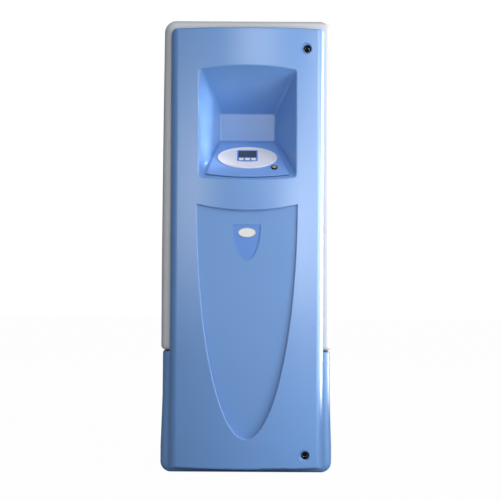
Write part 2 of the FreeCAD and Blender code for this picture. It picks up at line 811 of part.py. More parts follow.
def bowedBlock():
    # The door's full depth, with the niche and the relief sunk in and their rims rounded.
    deep = s.nicheBack + s.nicheDepthOver
    solid = doorProfile(0, deep, s.doorBottom, s.doorTop)
    solid = solid.cut([nicheFunnel(0), reliefPrism(0, s.doorFront + s.reliefDepth)])
    rim = [edge for edge in solid.Edges if onFace(edge, s.reliefTop, s.doorTop - s.overrun)]
    solid = solid.makeFillet(float(s.nicheRimRadius), rim)
    low = s.doorBottom + s.overrun
    rim = [edge for edge in solid.Edges if onFace(edge, low, s.reliefTop + s.reliefSagitta)]
    solid = solid.makeFillet(float(s.reliefRimRadius), rim)
    return solid.common(doorOutline(0, deep)).common(doorDrum())


def makeDoorPanel():
    deep = s.nicheBack + s.nicheDepthOver
    cavity = doorProfile(s.doorWall, s.doorBack + s.overrun, s.doorBottom, s.doorTop)
    cavity = cavity.common(doorOutline(s.doorWall, s.frontPlane))
    floor = s.doorFront + s.reliefDepth
    kept = [nicheFunnel(s.doorWall), reliefPrism(s.doorWall, floor + s.doorWall)]
    kept.append(shieldPrism(-s.doorWall, floor, floor + s.badgePocket + s.doorWall))
    for height in (s.upperLockHeight, s.lowerLockHeight):
        kept.append(frontRod(
            s.lockBossRadius, s.lockAcross, height, s.doorFront, lockPlane() + float(s.lockBossFloor)
        ))
    kept += hingeEars()
    stubs = boardPosts(s.boardThick - s.boardDrop, -s.boardPostRoot, s.boardPostRadius)
    posts = [tilted(stub) for stub in stubs]
    rear = boxOf((-s.cabinetHalf, s.cabinetHalf), (s.doorBack, deep + s.overrun), (s.baseBottom, s.coverTop))
    solid = bowedBlock().cut([cavity.cut(kept + posts), rear.cut([nicheFunnel(s.doorWall)] + posts)])
    tools = [shieldPrism(0, floor - s.overrun, floor + s.badgePocket)]
    for height in (s.upperLockHeight, s.lowerLockHeight):
        tools.append(frontRod(s.lockHoleRadius, s.lockAcross, height, s.doorFront, lockPlane()))
        tools.append(frontRod(
            s.lockBarrelRadius + s.shaftGap, s.lockAcross, height, s.doorFront, s.doorBack
        ))
        mouth = bowPlane(s.lockAcross)
        tools.append(Part.makeCone(
            float(s.lockChamferRadius * 2 - s.lockHoleRadius),
            float(s.lockHoleRadius),
            float(s.lockChamferDepth * 2),
            point(s.lockAcross, mouth - float(s.lockChamferDepth), height),
            Vector(0, 1, 0),
        ))
    tools += hingeCuts()
    tools.append(tilted(displayHole()))
    tools.append(tilted(switchHole(s.switchSleeveRadius + s.fitGap)))
    solid = solid.cut(tools)
    across = (-s.cabinetHalf, s.cabinetHalf)
    depth = (s.doorFront - s.overrun, deep)
    height = (s.doorBottom - s.endUnder, s.doorTop + s.endOver)
    ends = [
        boxOf(across, depth, (s.endTop, height[1])),
        boxOf(across, depth, (height[0], s.endBottom)),
    ]
    corner = boxOf((s.cornerSide, s.cabinetHalf), depth, height)
    behind = boxOf(across, (-s.nicheSplit, deep), height)
    tub = nicheFunnel(s.doorWall).fuse(posts).common(behind)
    rails = [solid.common(end) for end in ends]
    return (
        feature("door_panel", solid.cut([tub] + ends)),
        feature("niche_tub", solid.common(tub)),
        feature("door_rails", Part.makeCompound([rail.cut(corner) for rail in rails])),
        feature("lock_corners", Part.makeCompound([rail.common(corner) for rail in rails])),
    )


# The console on the niche floor, in its own tilted frame

def consoleOutline(shrunk, low, high):
    shrunk = float(shrunk)
    near = float(s.consoleFrontHalf) - shrunk
    far = float(s.consoleBackHalf) - shrunk
    low = float(low)
    middle = float(s.consoleSetback) + shrunk
    corner = middle + float(s.consoleSagitta)
    front = arc(Vector(-near, corner, low), Vector(0, middle, low), Vector(near, corner, low))
    back = float(s.consoleLength) - shrunk
    sides = [
        line(Vector(near, corner, low), Vector(far, back, low)),
        line(Vector(-near, corner, low), Vector(-far, back, low)),
        line(Vector(-far, back, low), Vector(far, back, low)),
    ]
    slab = solidOf([front] + sides, Vector(0, 0, float(high) - low))
    return slab.makeFillet(float(s.consoleCornerRadius), [edge for edge in slab.Edges if upright(edge)])


def faceEdges(shape, level):
    edges = []
    for edge in shape.Edges:
        box = edge.BoundBox
        if within(box.ZMax, level) and within(box.ZMin, level):
            edges.append(edge)
    return edges


def makeControlConsole():
    plate = consoleOutline(0, 0, s.consoleThick)
    plate = plate.makeFillet(float(s.consoleEdgeRadius), faceEdges(plate, s.consoleThick))
    plate = plate.cut([displayHole(), switchHole(s.switchSleeveRadius + s.fitGap)])
    return feature("control_console", plate, consolePlacement(0))


def ovalPrism(grown, low, high):
    centre = point(0, s.bezelCentre, low)
    ellipse = Part.Ellipse(centre, float(s.bezelHalfWidth + grown), float(s.bezelHalfHeight + grown))
    return Part.Face(Part.Wire(ellipse.toShape())).extrude(Vector(0, 0, float(high) - float(low)))


def displayOutline(grown, low, high):
    grown = float(grown)
    half = float(s.frameHalf) + grown
    near = float(s.frameLow) - grown
    far = float(s.frameHigh) + grown
    low = float(low)
    edges = [
        arc(Vector(-half, near, low), Vector(0, near - float(s.frameBulge), low), Vector(half, near, low)),
        line(Vector(half, near, low), Vector(half, far, low)),
        line(Vector(half, far, low), Vector(-half, far, low)),
        line(Vector(-half, far, low), Vector(-half, near, low)),
    ]
    return solidOf(edges, Vector(0, 0, float(high) - low))


def makeControlBezel():
    low = s.consoleThick
    high = low + s.bezelThick
    plate = ovalPrism(0, low, high + s.bezelRimProud)
    dish = ovalPrism(-s.bezelRim, high, high + s.bezelRimProud + s.overrun)
    plate = plate.cut(dish)
    top = faceEdges(plate, high + s.bezelRimProud)
    plate = plate.makeFillet(float(s.bezelRimProud * s.edgeShare), top)
    plate = plate.cut(displayOutline(s.fitGap, low - s.overrun, high + s.overrun))
    return feature("control_bezel", plate, consolePlacement(0))


def keyPlaces():
    return {"key_left": -s.keyPitch, "key_middle": 0, "key_right": s.keyPitch}


def keyBox(across, grown, low, high):
    box = boxOf(
        (across - s.keyWidth / 2 - grown, across + s.keyWidth / 2 + grown),
        (s.keyCentre - s.keyLength / 2 - grown, s.keyCentre + s.keyLength / 2 + grown),
        (low, high),
    )
    return box.makeFillet(float(s.keyEdgeRadius + grown), [edge for edge in box.Edges if upright(edge)])


def windowBox(grown, low, high):
    return boxOf(
        (-s.windowHalf - grown, s.windowHalf + grown),
        (s.windowLow - grown, s.windowHigh + grown),
        (low, high),
    )


def frameTop():
    return s.consoleThick + s.bezelThick + s.frameProud


def makeDisplayFrame():
    top = frameTop()
    low = top - s.frameDepth
    plate = displayOutline(0, low, top)
    plate = plate.makeFillet(float(s.frameProud * s.edgeShare), faceEdges(plate, top))
    seat = top - s.windowSunk - s.windowThick
    tools = [windowBox(s.seatGap, seat, top + s.overrun), windowBox(-s.keyFootThick, low - s.overrun, top)]
    for across in keyPlaces().values():
        tools.append(keyBox(across, s.fitGap, low - s.overrun, top + s.overrun))
    return feature("display_frame", plate.cut(tools), consolePlacement(0))


def makeDisplayWindow():
    top = frameTop() - s.windowSunk
    return feature("display_window", windowBox(0, top - s.windowThick, top), consolePlacement(0))


def makeKey(name, across):
    top = frameTop() + s.keyProud
    cap = keyBox(across, 0, top - s.keyDepth, top)
    cap = cap.makeFillet(float(s.keyEdgeRadius * s.edgeShare), faceEdges(cap, top))
    foot = frameTop() - s.frameDepth - s.fitGap
    flange = keyBox(across, s.keyFootMargin, foot - s.keyFootThick, foot)
    return feature(name, cap.fuse(flange), consolePlacement(0))


def makeControlBoard():
    top = s.boardThick - s.boardDrop
    low = top - s.boardThick
    board = boxOf((-s.boardHalf, s.boardHalf), (s.boardLow, s.boardHigh), (low, top))
    for across in keyPlaces().values():
        board = board.fuse(boxOf(
            (across - s.switchBoxHalf, across + s.switchBoxHalf),
            (s.keyCentre - s.switchBoxHalf, s.keyCentre + s.switchBoxHalf),
            (top - s.boardThick / 2, top + s.switchBoxHeight),
        ))
    lcd = windowBox(0, top - s.boardThick / 2, frameTop() - s.windowSunk - s.windowThick - s.fitGap)
    board = board.fuse(lcd.common(windowBox(-s.lcdMargin, low, frameTop())))
    return feature("control_board", board, consolePlacement(0))


def makeKeySwitchBezel():
    low = s.consoleThick
    centre = point(s.switchAcross, s.switchAlong, low)
    ring = Part.makeCylinder(float(s.switchRingRadius), float(s.switchRingProud), centre)
    ring = ring.makeFillet(float(s.switchRingProud) / 2, faceEdges(ring, low + s.switchRingProud))
    sleeve = Part.makeCylinder(
        float(s.switchSleeveRadius),
        float(s.switchDepth + low),
        point(s.switchAcross, s.switchAlong, -s.switchDepth),
    )
    bore = Part.makeCylinder(
        float(s.switchBarrelRadius + s.shaftGap),
        float(s.switchDepth + low + s.switchRingProud + s.overrun),
        point(s.switchAcross, s.switchAlong, -s.switchDepth + s.switchRingProud),
    )
    return feature("key_switch_bezel", ring.fuse(sleeve).cut(bore), consolePlacement(0))


def makeKeySwitchBarrel():
    top = s.consoleThick + s.switchRingProud + s.switchBarrelProud
    low = -s.switchDepth + s.switchRingProud + s.fitGap
    barrel = Part.makeCylinder(
        float(s.switchBarrelRadius), float(top - low), point(s.switchAcross, s.switchAlong, low)
    )
    barrel = barrel.makeFillet(float(s.switchBarrelProud * s.edgeShare), faceEdges(barrel, top))
    slot = boxOf(
        (s.switchAcross - s.switchSlotWidth / 2, s.switchAcross + s.switchSlotWidth / 2),
        (s.switchAlong - s.switchSlotLength / 2, s.switchAlong + s.switchSlotLength / 2),
        (top - s.switchSlotDepth, top + s.overrun),
    )
    slot.rotate(point(s.switchAcross, s.switchAlong, 0), Vector(0, 0, 1), float(s.switchSlotAngle))
    return feature("key_switch_barrel", barrel.cut(slot), consolePlacement(0))


def makeBadge():
    floor = s.doorFront + s.reliefDepth + s.badgePocket
    panel = shieldPrism(s.fitGap, floor - s.badgeThick, floor)
    panel = feature("badge_panel", panel)
    near = floor - s.badgeThick - s.plateThick
    centre = point(0, near, s.badgeTop - s.plateDrop)
    ellipse = Part.Ellipse(
        centre + Vector(float(s.plateHalfWidth), 0, 0), centre + Vector(0, 0, float(s.plateHalfHeight)), centre
    )
    plate = Part.Face(Part.Wire(ellipse.toShape())).extrude(Vector(0, float(s.plateThick), 0))
    rim = [edge for edge in plate.Edges if within(edge.BoundBox.YMax, near)]
    plate = plate.makeFillet(float(s.plateThick * s.edgeShare), rim)
    return panel, feature("badge_plate", plate)


# Locks

def makeLock(prefix, height):
    seat = lockPlane()
    head = frontRod(s.lockHeadRadius, s.lockAcross, height, seat - float(s.lockHeadThick), seat)
    rim = [edge for edge in head.Edges if edge.BoundBox.YMax < seat - float(s.lockHeadThick / 2)]
    head = head.makeFillet(float(s.lockHeadThick / 2 * s.edgeShare), rim)
    rear = s.frontPlane + s.shellWall + s.camGap
    stem = frontRod(s.lockBarrelRadius, s.lockAcross, height, seat - float(s.overrun) / 2, rear)
    keyhole = frontRod(s.lockKeyholeRadius, s.lockAcross, height, s.doorFront, seat)
    slot = boxOf(
        (s.lockAcross - s.lockKeyholeRadius / 2, s.lockAcross + s.lockKeyholeRadius / 2),
        (s.doorFront, s.frontPlane - s.lockRecess / 2),
        (height - s.lockKeyholeRadius * 2, height),
    )
    barrel = head.fuse(stem).cut([keyhole, slot])
    plate = boxOf(
        (s.lockAcross - s.camWidth / 2, s.lockAcross + s.camWidth / 2),
        (rear, rear + s.camThick),
        (height - s.camWidth / 2, height + s.camLength),
    )
    plate = plate.makeFillet(float(s.camCornerRadius), [edge for edge in plate.Edges if inward(edge)])
    return feature(f"{prefix}_lock_barrel", barrel.fuse(plate))


# Hinges: an arm on the cabinet reaches into the door round a pin between two ears

def makeHingeBrackets():
    brackets = []
    for height in hingeHeights():
        level = (height - s.bracketHeight / 2, height + s.bracketHeight / 2)
        depth = (s.hingePlane - s.bracketHalfDepth, s.hingePlane + s.bracketHalfDepth)
        arm = (s.hingeAcross + s.bracketArmNear, s.hingeAcross + s.bracketArmNear + s.bracketArmThick)
        flangeFront = s.frontPlane - s.bracketFlangeThick
        solid = fuse(
            "hingeBracketSolid",
            rod("hingeKnuckle", s.knuckleRadius, s.hingeAcross, s.hingePlane, level),
            block("hingeReach", (s.hingeAcross, arm[1]), depth, level),
            block("hingeArm", arm, (depth[0], s.frontPlane), level),
            block("hingeFlange", (arm[1], arm[1] + s.bracketFlangeWidth), (flangeFront, s.frontPlane), level),
        )
        over = (level[0] - s.overrun, level[1] + s.overrun)
        bore = rod("hingeBore", s.hingePinRadius + s.shaftGap, s.hingeAcross, s.hingePlane, over)
        brackets.append(cut("hingeBracket", solid, bore))
    return group("hinge_brackets", *brackets)


def makeHingePins():
    pins = []
    for height in hingeHeights():
        half = s.bracketHeight / 2 + s.hingeGap + s.earHeight
        level = (height - half, height + half)
        pins.append(rod("hingePin", s.hingePinRadius, s.hingeAcross, s.hingePlane, level))
    return group("hinge_pins", *pins)


# Frame

def sides():
    return (-1, 1)


def makeBaseDeck():
    half = s.baseHalf - s.shellWall - s.fitGap
    front = s.frontPlane + s.shellEdgeRadius
    rear = s.rearPlane - s.shellWall - s.fitGap
    body = doc.addObject("PartDesign::Body", "deckBody")
    sketch = rectangleSketch(body, "deckOutline", (-half, half), (front, rear))
    pad = body.newObject("PartDesign::Pad", "deckPad")
    pad.Profile = sketch
    bind(pad, Length=s.deckThick)
    doc.recompute()
    place(body, 0, 0, s.deckBottom)
    return body


def rectangleSketch(body, name, x, y):
    # A rectangle with each side bound to its distance from the body's own axes.
    sketch = body.newObject("Sketcher::SketchObject", name)
    planes = [item for item in body.Origin.OriginFeatures if item.Role == "XY_Plane"]
    sketch.AttachmentSupport = (planes[0], [""])
    sketch.MapMode = "FlatFace"
    corners = [(x[0], y[0]), (x[1], y[0]), (x[1], y[1]), (x[0], y[1])]
    count = len(corners)
    for n in range(count):
        first = corners[n]
        last = corners[(n + 1) % count]
        sketch.addGeometry(Part.LineSegment(point(first[0], first[1], 0), point(last[0], last[1], 0)))
    for n in range(count):
        sketch.addConstraint(Sketcher.Constraint("Coincident", n, 2, (n + 1) % count, 1))
        for axis, value in (("DistanceX", corners[n][0]), ("DistanceY", corners[n][1])):
            index = sketch.addConstraint(Sketcher.Constraint(axis, -1, 1, n, 1, float(value)))
            sketch.renameConstraint(index, f"{axis}{n}")
            sketch.setExpression(f"Constraints.{axis}{n}", formulaOf(value))
    return sketch


def sideSpan(side, near, far):
    return (near, far) if side > 0 else (-far, -near)


def makeFramePosts():
    posts = []
    deckTop = s.deckBottom + s.deckThick
    level = (deckTop, s.plateTop)
    for side in sides():
        x = sideSpan(side, s.postInner, s.postOuter)
        inner = sideSpan(side, s.postInner + s.postWall, s.postOuter - s.postWall)
        for y in ((s.postFront, s.postFront + s.postSide), (s.postRear - s.postSide, s.postRear)):
            outside = block("postOutside", x, y, level)
            hollow = block(
                "postHollow",
                inner,
                (y[0] + s.postWall, y[1] - s.postWall),
                (level[0] - s.overrun, level[1] + s.overrun),
            )
            posts.append(cut("post", outside, hollow))
    return group("frame_posts", *posts)


def makeFrameRails():
    rails = []
    along = (s.postFront + s.postSide, s.postRear - s.postSide)
    for height in (s.lowRail, s.highRail):
        for side in sides():
            level = (height, height + s.postSide)
            rails.append(block("sideRail", sideSpan(side, s.postInner, s.postOuter), along, level))
    for height in (s.rearRail, s.plateTop - s.postSide):
        rails.append(block("rearRailBlock", (-s.postInner, s.postInner), (along[1], s.postRear), (
            height, height + s.postSide
        )))
    return group("frame_rails", *rails)


def plateBack():
    return s.plateFront + s.plateSheet


def tubePlaces():
    # Where the four rear ports' tubes cross the component plate, behind the manifold.
    return [port[0] for port in rearPorts()]


def crossoverHeight():
    return (s.manifoldLow + s.manifoldHigh) / 2


def makeComponentPlate():
    panel = block(
        "plateSheetBlock",
        (-s.postInner, s.postInner),
        (s.plateFront, plateBack()),
        (s.plateLow, s.plateTop),
    )
    depth = (s.plateFront - s.overrun, plateBack() + s.overrun)
    holes = []
    for across in tubePlaces():
        holes.append(rod("tubeHole", s.tubeRadius + s.tubeHoleGap, across, depth, crossoverHeight()))
    return cut("component_plate", panel, *holes)


def makeFeet():
    studs = []
    pads = []
    for side in sides():
        for depth in (s.footFront, s.footRear):
            across = s.footAcross * side
            disc = cone("footDisc", (s.footPadRadius, s.footNutRadius), across, depth, (
                s.footPadThick, s.footPadThick + s.footDiscThick
            ))
            stud = rod("footStud", s.footStudRadius, across, depth, (s.footPadThick, s.deckBottom))
            nut = rod("footNut", s.footNutRadius, across, depth, (s.deckBottom - s.footNutThick, s.deckBottom))
            studs.append(fuse("foot", disc, stud, nut))
            pads.append(rod("footPad", s.footPadRadius, across, depth, (0, s.footPadThick)))
    return group("levelling_feet", *studs), group("foot_pads", *pads)


# Tank

def makeTank():
    deckTop = s.deckBottom + s.deckThick
    outside = boxOf((-s.tankHalf, s.tankHalf), (s.tankFront, s.tankRear), (deckTop, s.tankTop))
    outside = outside.makeFillet(float(s.tankRadius), [edge for edge in outside.Edges if upright(edge)])
    wall = s.tankWall
    hollow = boxOf(
        (wall - s.tankHalf, s.tankHalf - wall),
        (s.tankFront + wall, s.tankRear - wall),
        (deckTop + wall, s.tankTop + s.overrun),
    )
    hollow = hollow.makeFillet(float(s.tankRadius - wall), [edge for edge in hollow.Edges if upright(edge)])
    return feature("reservoir_tank", outside.cut(hollow))


def makeTankLid():
    top = s.tankTop + s.lidThick
    lid = block(
        "lidSlab",
        (-s.tankHalf - s.lidMargin, s.tankHalf + s.lidMargin),
        (s.tankFront - s.lidMargin, s.tankRear + s.lidMargin),
        (s.tankTop, top),
    )
    over = (s.tankTop - s.overrun, top + s.overrun)
    hole = rod("lidHole", s.lidHoleRadius, s.sensorAcross, s.sensorDepth, over)
    return cut("tank_lid", lid, hole)


def makeVentFilter():
    low = s.tankTop + s.lidThick
    neck = rod("ventNeck", s.ventNeckRadius, s.ventAcross, s.ventDepth, (low, low + s.ventNeckHeight))
    shoulder = low + s.ventNeckHeight
    body = rod("ventBody", s.ventRadius, s.ventAcross, s.ventDepth, (shoulder, shoulder + s.ventHeight))
    return fuse("vent_filter", neck, body)


def makeLevelSensor():
    low = s.tankTop + s.lidThick
    stem = rod("sensorStem", s.sensorRadius, s.sensorAcross, s.sensorDepth, (s.sensorBottom, low))
    head = rod("sensorHead", s.sensorHeadRadius, s.sensorAcross, s.sensorDepth, (low, low + s.sensorHeadHeight))
    float_ = rod("sensorFoot", s.floatRadius, s.sensorAcross, s.sensorDepth, (
        s.sensorBottom, s.sensorBottom + s.floatHeight
    ))
    return fuse("level_sensor", stem, head, float_)


# Water treatment, hung on the component plate

def plateBracket(name, across, width, depth, level):
    return block(name, (across - width / 2, across + width / 2), (depth, s.plateFront), level)


def makePrefilter():
    place_ = (s.prefilterAcross, s.prefilterDepth)
    level = (s.prefilterTop, s.prefilterTop + s.prefilterHeadHeight)
    head = fuse(
        "prefilter_head",
        rod("prefilterCap", s.prefilterHeadRadius, *place_, level),
        plateBracket("prefilterBracket", s.prefilterAcross, s.bracketWidth, s.prefilterDepth, level),
    )
    shoulder = s.prefilterLow + s.prefilterDome
    bowl = fuse(
        "prefilter_bowl",
        rod("bowlBarrel", s.prefilterRadius, *place_, (shoulder, s.prefilterTop)),
        cone("bowlFoot", (s.prefilterRadius - s.prefilterDome, s.prefilterRadius), *place_, (
            s.prefilterLow, shoulder
        )),
    )
    return head, bowl


def membranePlaces():
    return (s.membraneLeft, s.membraneRight)


def makeMembranes():
    barrels = []
    caps = []
    for across in membranePlaces():
        level = (s.membraneLow, s.membraneHigh)
        barrels.append(rod("membrane", s.membraneRadius, across, s.membraneDepth, level))
        ends = ((s.membraneLow - s.membraneCapHeight, s.membraneLow),
                (s.membraneHigh, s.membraneHigh + s.membraneCapHeight))
        for level in ends:
            caps.append(rod("membraneCap", s.membraneCapRadius, across, s.membraneDepth, level))
    return group("membrane_tubes", *barrels), group("membrane_caps", *caps)


def ringClip(radius, across, depth, level):
    outer = radius + s.clipThick
    ring = fuse(
        "clipSolid",
        rod("clipRing", outer, across, depth, level),
        plateBracket("clipFoot", across, s.bracketWidth / 2, depth, level),
    )
    bore = rod("clipBore", radius + s.seatGap, across, depth, (level[0] - s.overrun, level[1] + s.overrun))
    return cut("clip", ring, bore)


def makePipeClips():
    clips = []
    for across in membranePlaces():
        for low in (s.membraneLow + s.clipInset, s.membraneHigh - s.clipInset - s.clipHeight):
            clips.append(ringClip(s.membraneRadius, across, s.membraneDepth, (low, low + s.clipHeight)))
    for left in (s.uvLeft + s.uvClipInset, s.uvRight - s.uvClipInset - s.clipHeight):
        span = (left, left + s.clipHeight)
        outer = s.uvRadius + s.clipThick
        ring = fuse(
            "uvClipSolid",
            rod("uvClipRing", outer, span, s.uvDepth, s.uvHeight),
            block("uvClipFoot", span, (s.uvDepth, s.plateFront), (
                s.uvHeight - s.bracketWidth / 4, s.uvHeight + s.bracketWidth / 4
            )),
        )
        over = (span[0] - s.overrun, span[1] + s.overrun)
        bore = rod("uvClipBore", s.uvRadius + s.seatGap, over, s.uvDepth, s.uvHeight)
        clips.append(cut("uvClip", ring, bore))
    return group("pipe_clips", *clips)


def makePacks():
    packs_ = []
    heads = []
    spans = ((s.packRight, s.packRightLow, s.packRightTop), (s.packLeft, s.packLeftLow, s.packLeftTop))
    for across, low, top in spans:
        packs_.append(rod("pack", s.packRadius, across, s.packDepth, (low, top)))
        level = (top, top + s.packHeadHeight)
        heads.append(fuse(
            "packHead",
            rod("packHeadCap", s.packHeadRadius, across, s.packDepth, level),
            plateBracket("packHeadBracket", across, s.bracketWidth, s.packDepth, level),
        ))
    return group("purification_packs", *packs_), group("pack_heads", *heads)


def makeUv():
    chamber = fuse(
        "uv_chamber",
        rod("uvTube", s.uvRadius, (s.uvLeft, s.uvRight), s.uvDepth, s.uvHeight),
        rod("uvCapLeft", s.uvCapRadius, (s.uvLeft - s.uvCapLength, s.uvLeft), s.uvDepth, s.uvHeight),
        rod("uvCapRight", s.uvCapRadius, (s.uvRight, s.uvRight + s.uvCapLength), s.uvDepth, s.uvHeight),
    )
    place_ = (s.filterAcross, s.filterDepth)
    level = (s.filterLow, s.filterHigh)
    neck = s.filterNeckHeight
    middle = (s.filterLow + s.filterHigh) / 2
    final = fuse(
        "final_filter",
        rod("filterBody", s.filterRadius, *place_, level),
        rod("filterNecks", s.filterNeckRadius, *place_, (level[0] - neck, level[1] + neck)),
        plateBracket("filterFoot", s.filterAcross, s.bracketWidth / 2, s.filterDepth, (
            middle - s.bracketWidth / 4, middle + s.bracketWidth / 4
        )),
    )
    return chamber, final


def makePumps():
    motors = []
    heads = []
    deckTop = s.deckBottom + s.deckThick
    for side in sides():
        near = s.motorEnd - s.motorLength
        body = rod("motorBody", s.motorRadius, sideSpan(side, near, s.motorEnd), s.pumpDepth, s.pumpHeight)
        foot = block(
            "motorFoot",
            sideSpan(side, near + s.finPitch, s.motorEnd - s.finPitch),
            (s.pumpDepth - s.footWidth / 2, s.pumpDepth + s.footWidth / 2),
            (deckTop, s.pumpHeight - s.motorRadius / 2),
        )
        fins = []
        for n in range(int(float(s.finCount))):
            start = near + s.finStart + s.finPitch * n
            span = sideSpan(side, start, start + s.finThick)
            fins.append(rod("motorFin", s.motorRadius + s.finDepth, span, s.pumpDepth, s.pumpHeight))
        motors.append(fuse("motor", body, foot, *fins))
        span = sideSpan(side, near - s.pumpHeadLength, near)
        head = rod("pumpHead", s.pumpHeadRadius, span, s.pumpDepth, s.pumpHeight)
        middle = (near - s.pumpHeadLength / 2) * side
        port = rod("pumpPort", s.pumpPortRadius, middle, s.pumpDepth, (
            s.pumpHeight, s.pumpHeight + s.pumpHeadRadius + s.pumpPortHeight
        ))
        heads.append(fuse("pump", head, port))
    return group("pump_motors", *motors), group("pump_heads", *heads)


def valvePlaces():
    return [s.valveFirst + s.valvePitch * n for n in range(3)]


def makeManifold():
    level = (s.manifoldLow, s.manifoldHigh)
    body = block("manifold_block", (s.manifoldLeft, s.manifoldRight), (s.manifoldFront, s.plateFront), level)
    middle = (s.manifoldLow + s.manifoldHigh) / 2
    valves = []
    for across in valvePlaces():
        front = s.manifoldFront - s.valveLength
        valves.append(fuse(
            "valve",
            rod("valveCoil", s.valveHalf, across, (front, s.manifoldFront), middle),
            block(
                "valveYoke",
                (across - s.valveHalf, across + s.valveHalf),
                (front + s.valveHalf / 2, s.manifoldFront - s.valveHalf / 2),
                (middle - s.valveHalf, middle + s.valveHalf),
            ),
        ))
    return body, group("solenoid_valves", *valves)


def makeRegulator():
    place_ = (s.regulatorAcross, s.regulatorDepth)
    level = (s.regulatorLow, s.regulatorHigh)
    stemTop = s.regulatorHigh + s.knobHeight / 2
    body = fuse(
        "regulator_body",
        rod("regulatorBarrel", s.regulatorRadius, *place_, level),
        rod("regulatorStem", s.knobStemRadius, *place_, (s.regulatorHigh, stemTop)),
        plateBracket("regulatorFoot", s.regulatorAcross, s.regulatorRadius, s.regulatorDepth, level),
    )
    low = s.regulatorHigh + s.fitGap
    high = low + s.knobHeight
    outside = rod("knobBody", s.knobRadius, *place_, (low, high))
    hollow = rod("knobBore", s.knobStemRadius + s.shaftGap, *place_, (low - s.overrun, stemTop + s.fitGap))
    grooves = []
    count = int(float(s.knobGrooves))
    for n in range(count):
        angle = 2 * math.pi * n / count
        grooves.append(rod(
            "knobGroove",
            s.knobGrooveRadius,
            s.regulatorAcross + s.knobRadius * math.cos(angle),
            s.regulatorDepth + s.knobRadius * math.sin(angle),
            (low - s.overrun, high + s.overrun),
        ))
    knob = cut("regulator_knob", outside, hollow, *grooves)
    front = s.regulatorDepth - s.regulatorRadius - s.gaugeStemLength
    middle = (s.regulatorLow + s.regulatorHigh) / 2
    dial = rod("gaugeCase", s.gaugeRadius, s.regulatorAcross, (front - s.gaugeThick, front), middle)
    glass = rod(
        "gaugeGlassRecess",
        s.gaugeRadius - s.gaugeGlassInset,
        s.regulatorAcross,
        (front - s.gaugeThick - s.overrun, front - s.gaugeThick + s.gaugeGlassSunk),
        middle,
    )
    reach = (front, s.regulatorDepth - s.regulatorRadius)
    stem = rod("gaugeStem", s.gaugeStemRadius, s.regulatorAcross, reach, middle)
    return body, knob, fuse("pressure_gauge", cut("gaugeDial", dial, glass), stem)


def makeElectronics():
    x = (-s.boxHalf, s.boxHalf)
    z = (s.boxLow, s.boxHigh)
    front = s.plateFront - s.boxDepth
    wall = s.boxWall
    tray = cut(
        "electronics_box",
        block("boxOutside", x, (front, s.plateFront), z),
        block("boxHollow", (x[0] + wall, x[1] - wall), (front - s.overrun, s.plateFront - wall), (
            z[0] + wall, z[1] - wall
        )),
    )
    lid = block("electronics_cover", x, (front - s.lidSheet, front), z)
    return tray, lid


# Rear fittings

def makePort(name, across, radius):
    rear = s.rearPlane
    body = fuse(
        f"{name}_solid",
        rod("portThread", radius, across, (rear, rear + s.portReach), s.portHeight),
        rod("portWaist", radius - s.portWaistStep, across, (rear - s.shellWall, rear), s.portHeight),
        rod("portFlange", s.portFlangeRadius, across, (
            rear - s.shellWall - s.portFlangeThick, rear - s.shellWall
        ), s.portHeight),
        rod("portTail", s.portTailRadius, across, (
            rear - s.shellWall - s.portFlangeThick - s.portTail, rear - s.shellWall
        ), s.portHeight),
    )
    reach = (rear - s.shellWall, rear + s.portReach + s.overrun)
    bore = rod("portBore", s.portBoreRadius, across, reach, s.portHeight)
    return cut(name, body, bore)


def makePowerInlet():
    x = (s.inletAcross - s.inletHalf, s.inletAcross + s.inletHalf)
    z = (s.inletHeight - s.inletLength / 2, s.inletHeight + s.inletLength / 2)
    inset = s.inletProud + s.fitGap
    proud = s.rearPlane + s.inletProud
    body = fuse(
        "inletSolid",
        block("inletFlange", x, (s.rearPlane, proud), z),
        block("inletTail", (x[0] + inset, x[1] - inset), (s.rearPlane - s.inletTail, proud), (
            z[0] + inset, z[1] - inset
        )),
    )
    socketMiddle = s.inletHeight - s.inletLength / 2 + s.socketDrop
    socket = block(
        "inletSocket",
        (s.inletAcross - s.socketHalf, s.inletAcross + s.socketHalf),
        (proud - s.socketDepth, proud + s.overrun),
        (socketMiddle - s.socketHeight / 2, socketMiddle + s.socketHeight / 2),
    )
    window = block(
        "rockerWindow",
        (s.inletAcross - s.rockerHalf - s.fitGap, s.inletAcross + s.rockerHalf + s.fitGap),
        (proud - s.rockerThick - s.rockerGap * 2, proud + s.overrun),
        (rockerHeight() - s.rockerLength / 2 - s.rockerGap, rockerHeight() + s.rockerLength / 2 + s.rockerGap),
    )
    reach = s.rockerHalf + s.pivotReach + s.fitGap
    pivot = rod(
        "rockerPivot",
        s.pivotRadius + s.shaftGap,
        (s.inletAcross - reach, s.inletAcross + reach),
        proud - s.rockerThick / 2,
        rockerHeight(),
    )
    return cut("power_inlet", body, socket, window, pivot)


def rockerHeight():
    return s.inletHeight + s.rockerRise


def makeRocker():
    half = s.rockerThick / 2
    rocker = boxOf(
        (-s.rockerHalf, s.rockerHalf), (-half, half), (-s.rockerLength / 2, s.rockerLength / 2)
    )
    rim = [edge for edge in rocker.Edges if within(edge.BoundBox.YMin, half)]
    rocker = rocker.makeFillet(float(s.keyEdgeRadius), rim)
    reach = s.rockerHalf + s.pivotReach
    pivot = Part.makeCylinder(float(s.pivotRadius), float(reach * 2), point(-reach, 0, 0), Vector(1, 0, 0))
    rocker = rocker.fuse(pivot)
    centre = point(s.inletAcross, s.rearPlane + s.inletProud - half, rockerHeight())
    turned = Placement(centre, Rotation(Vector(1, 0, 0), -float(s.rockerTilt)))
    return feature("power_rocker", rocker, turned)


# Tubes held inside: straight runs joined by arcs

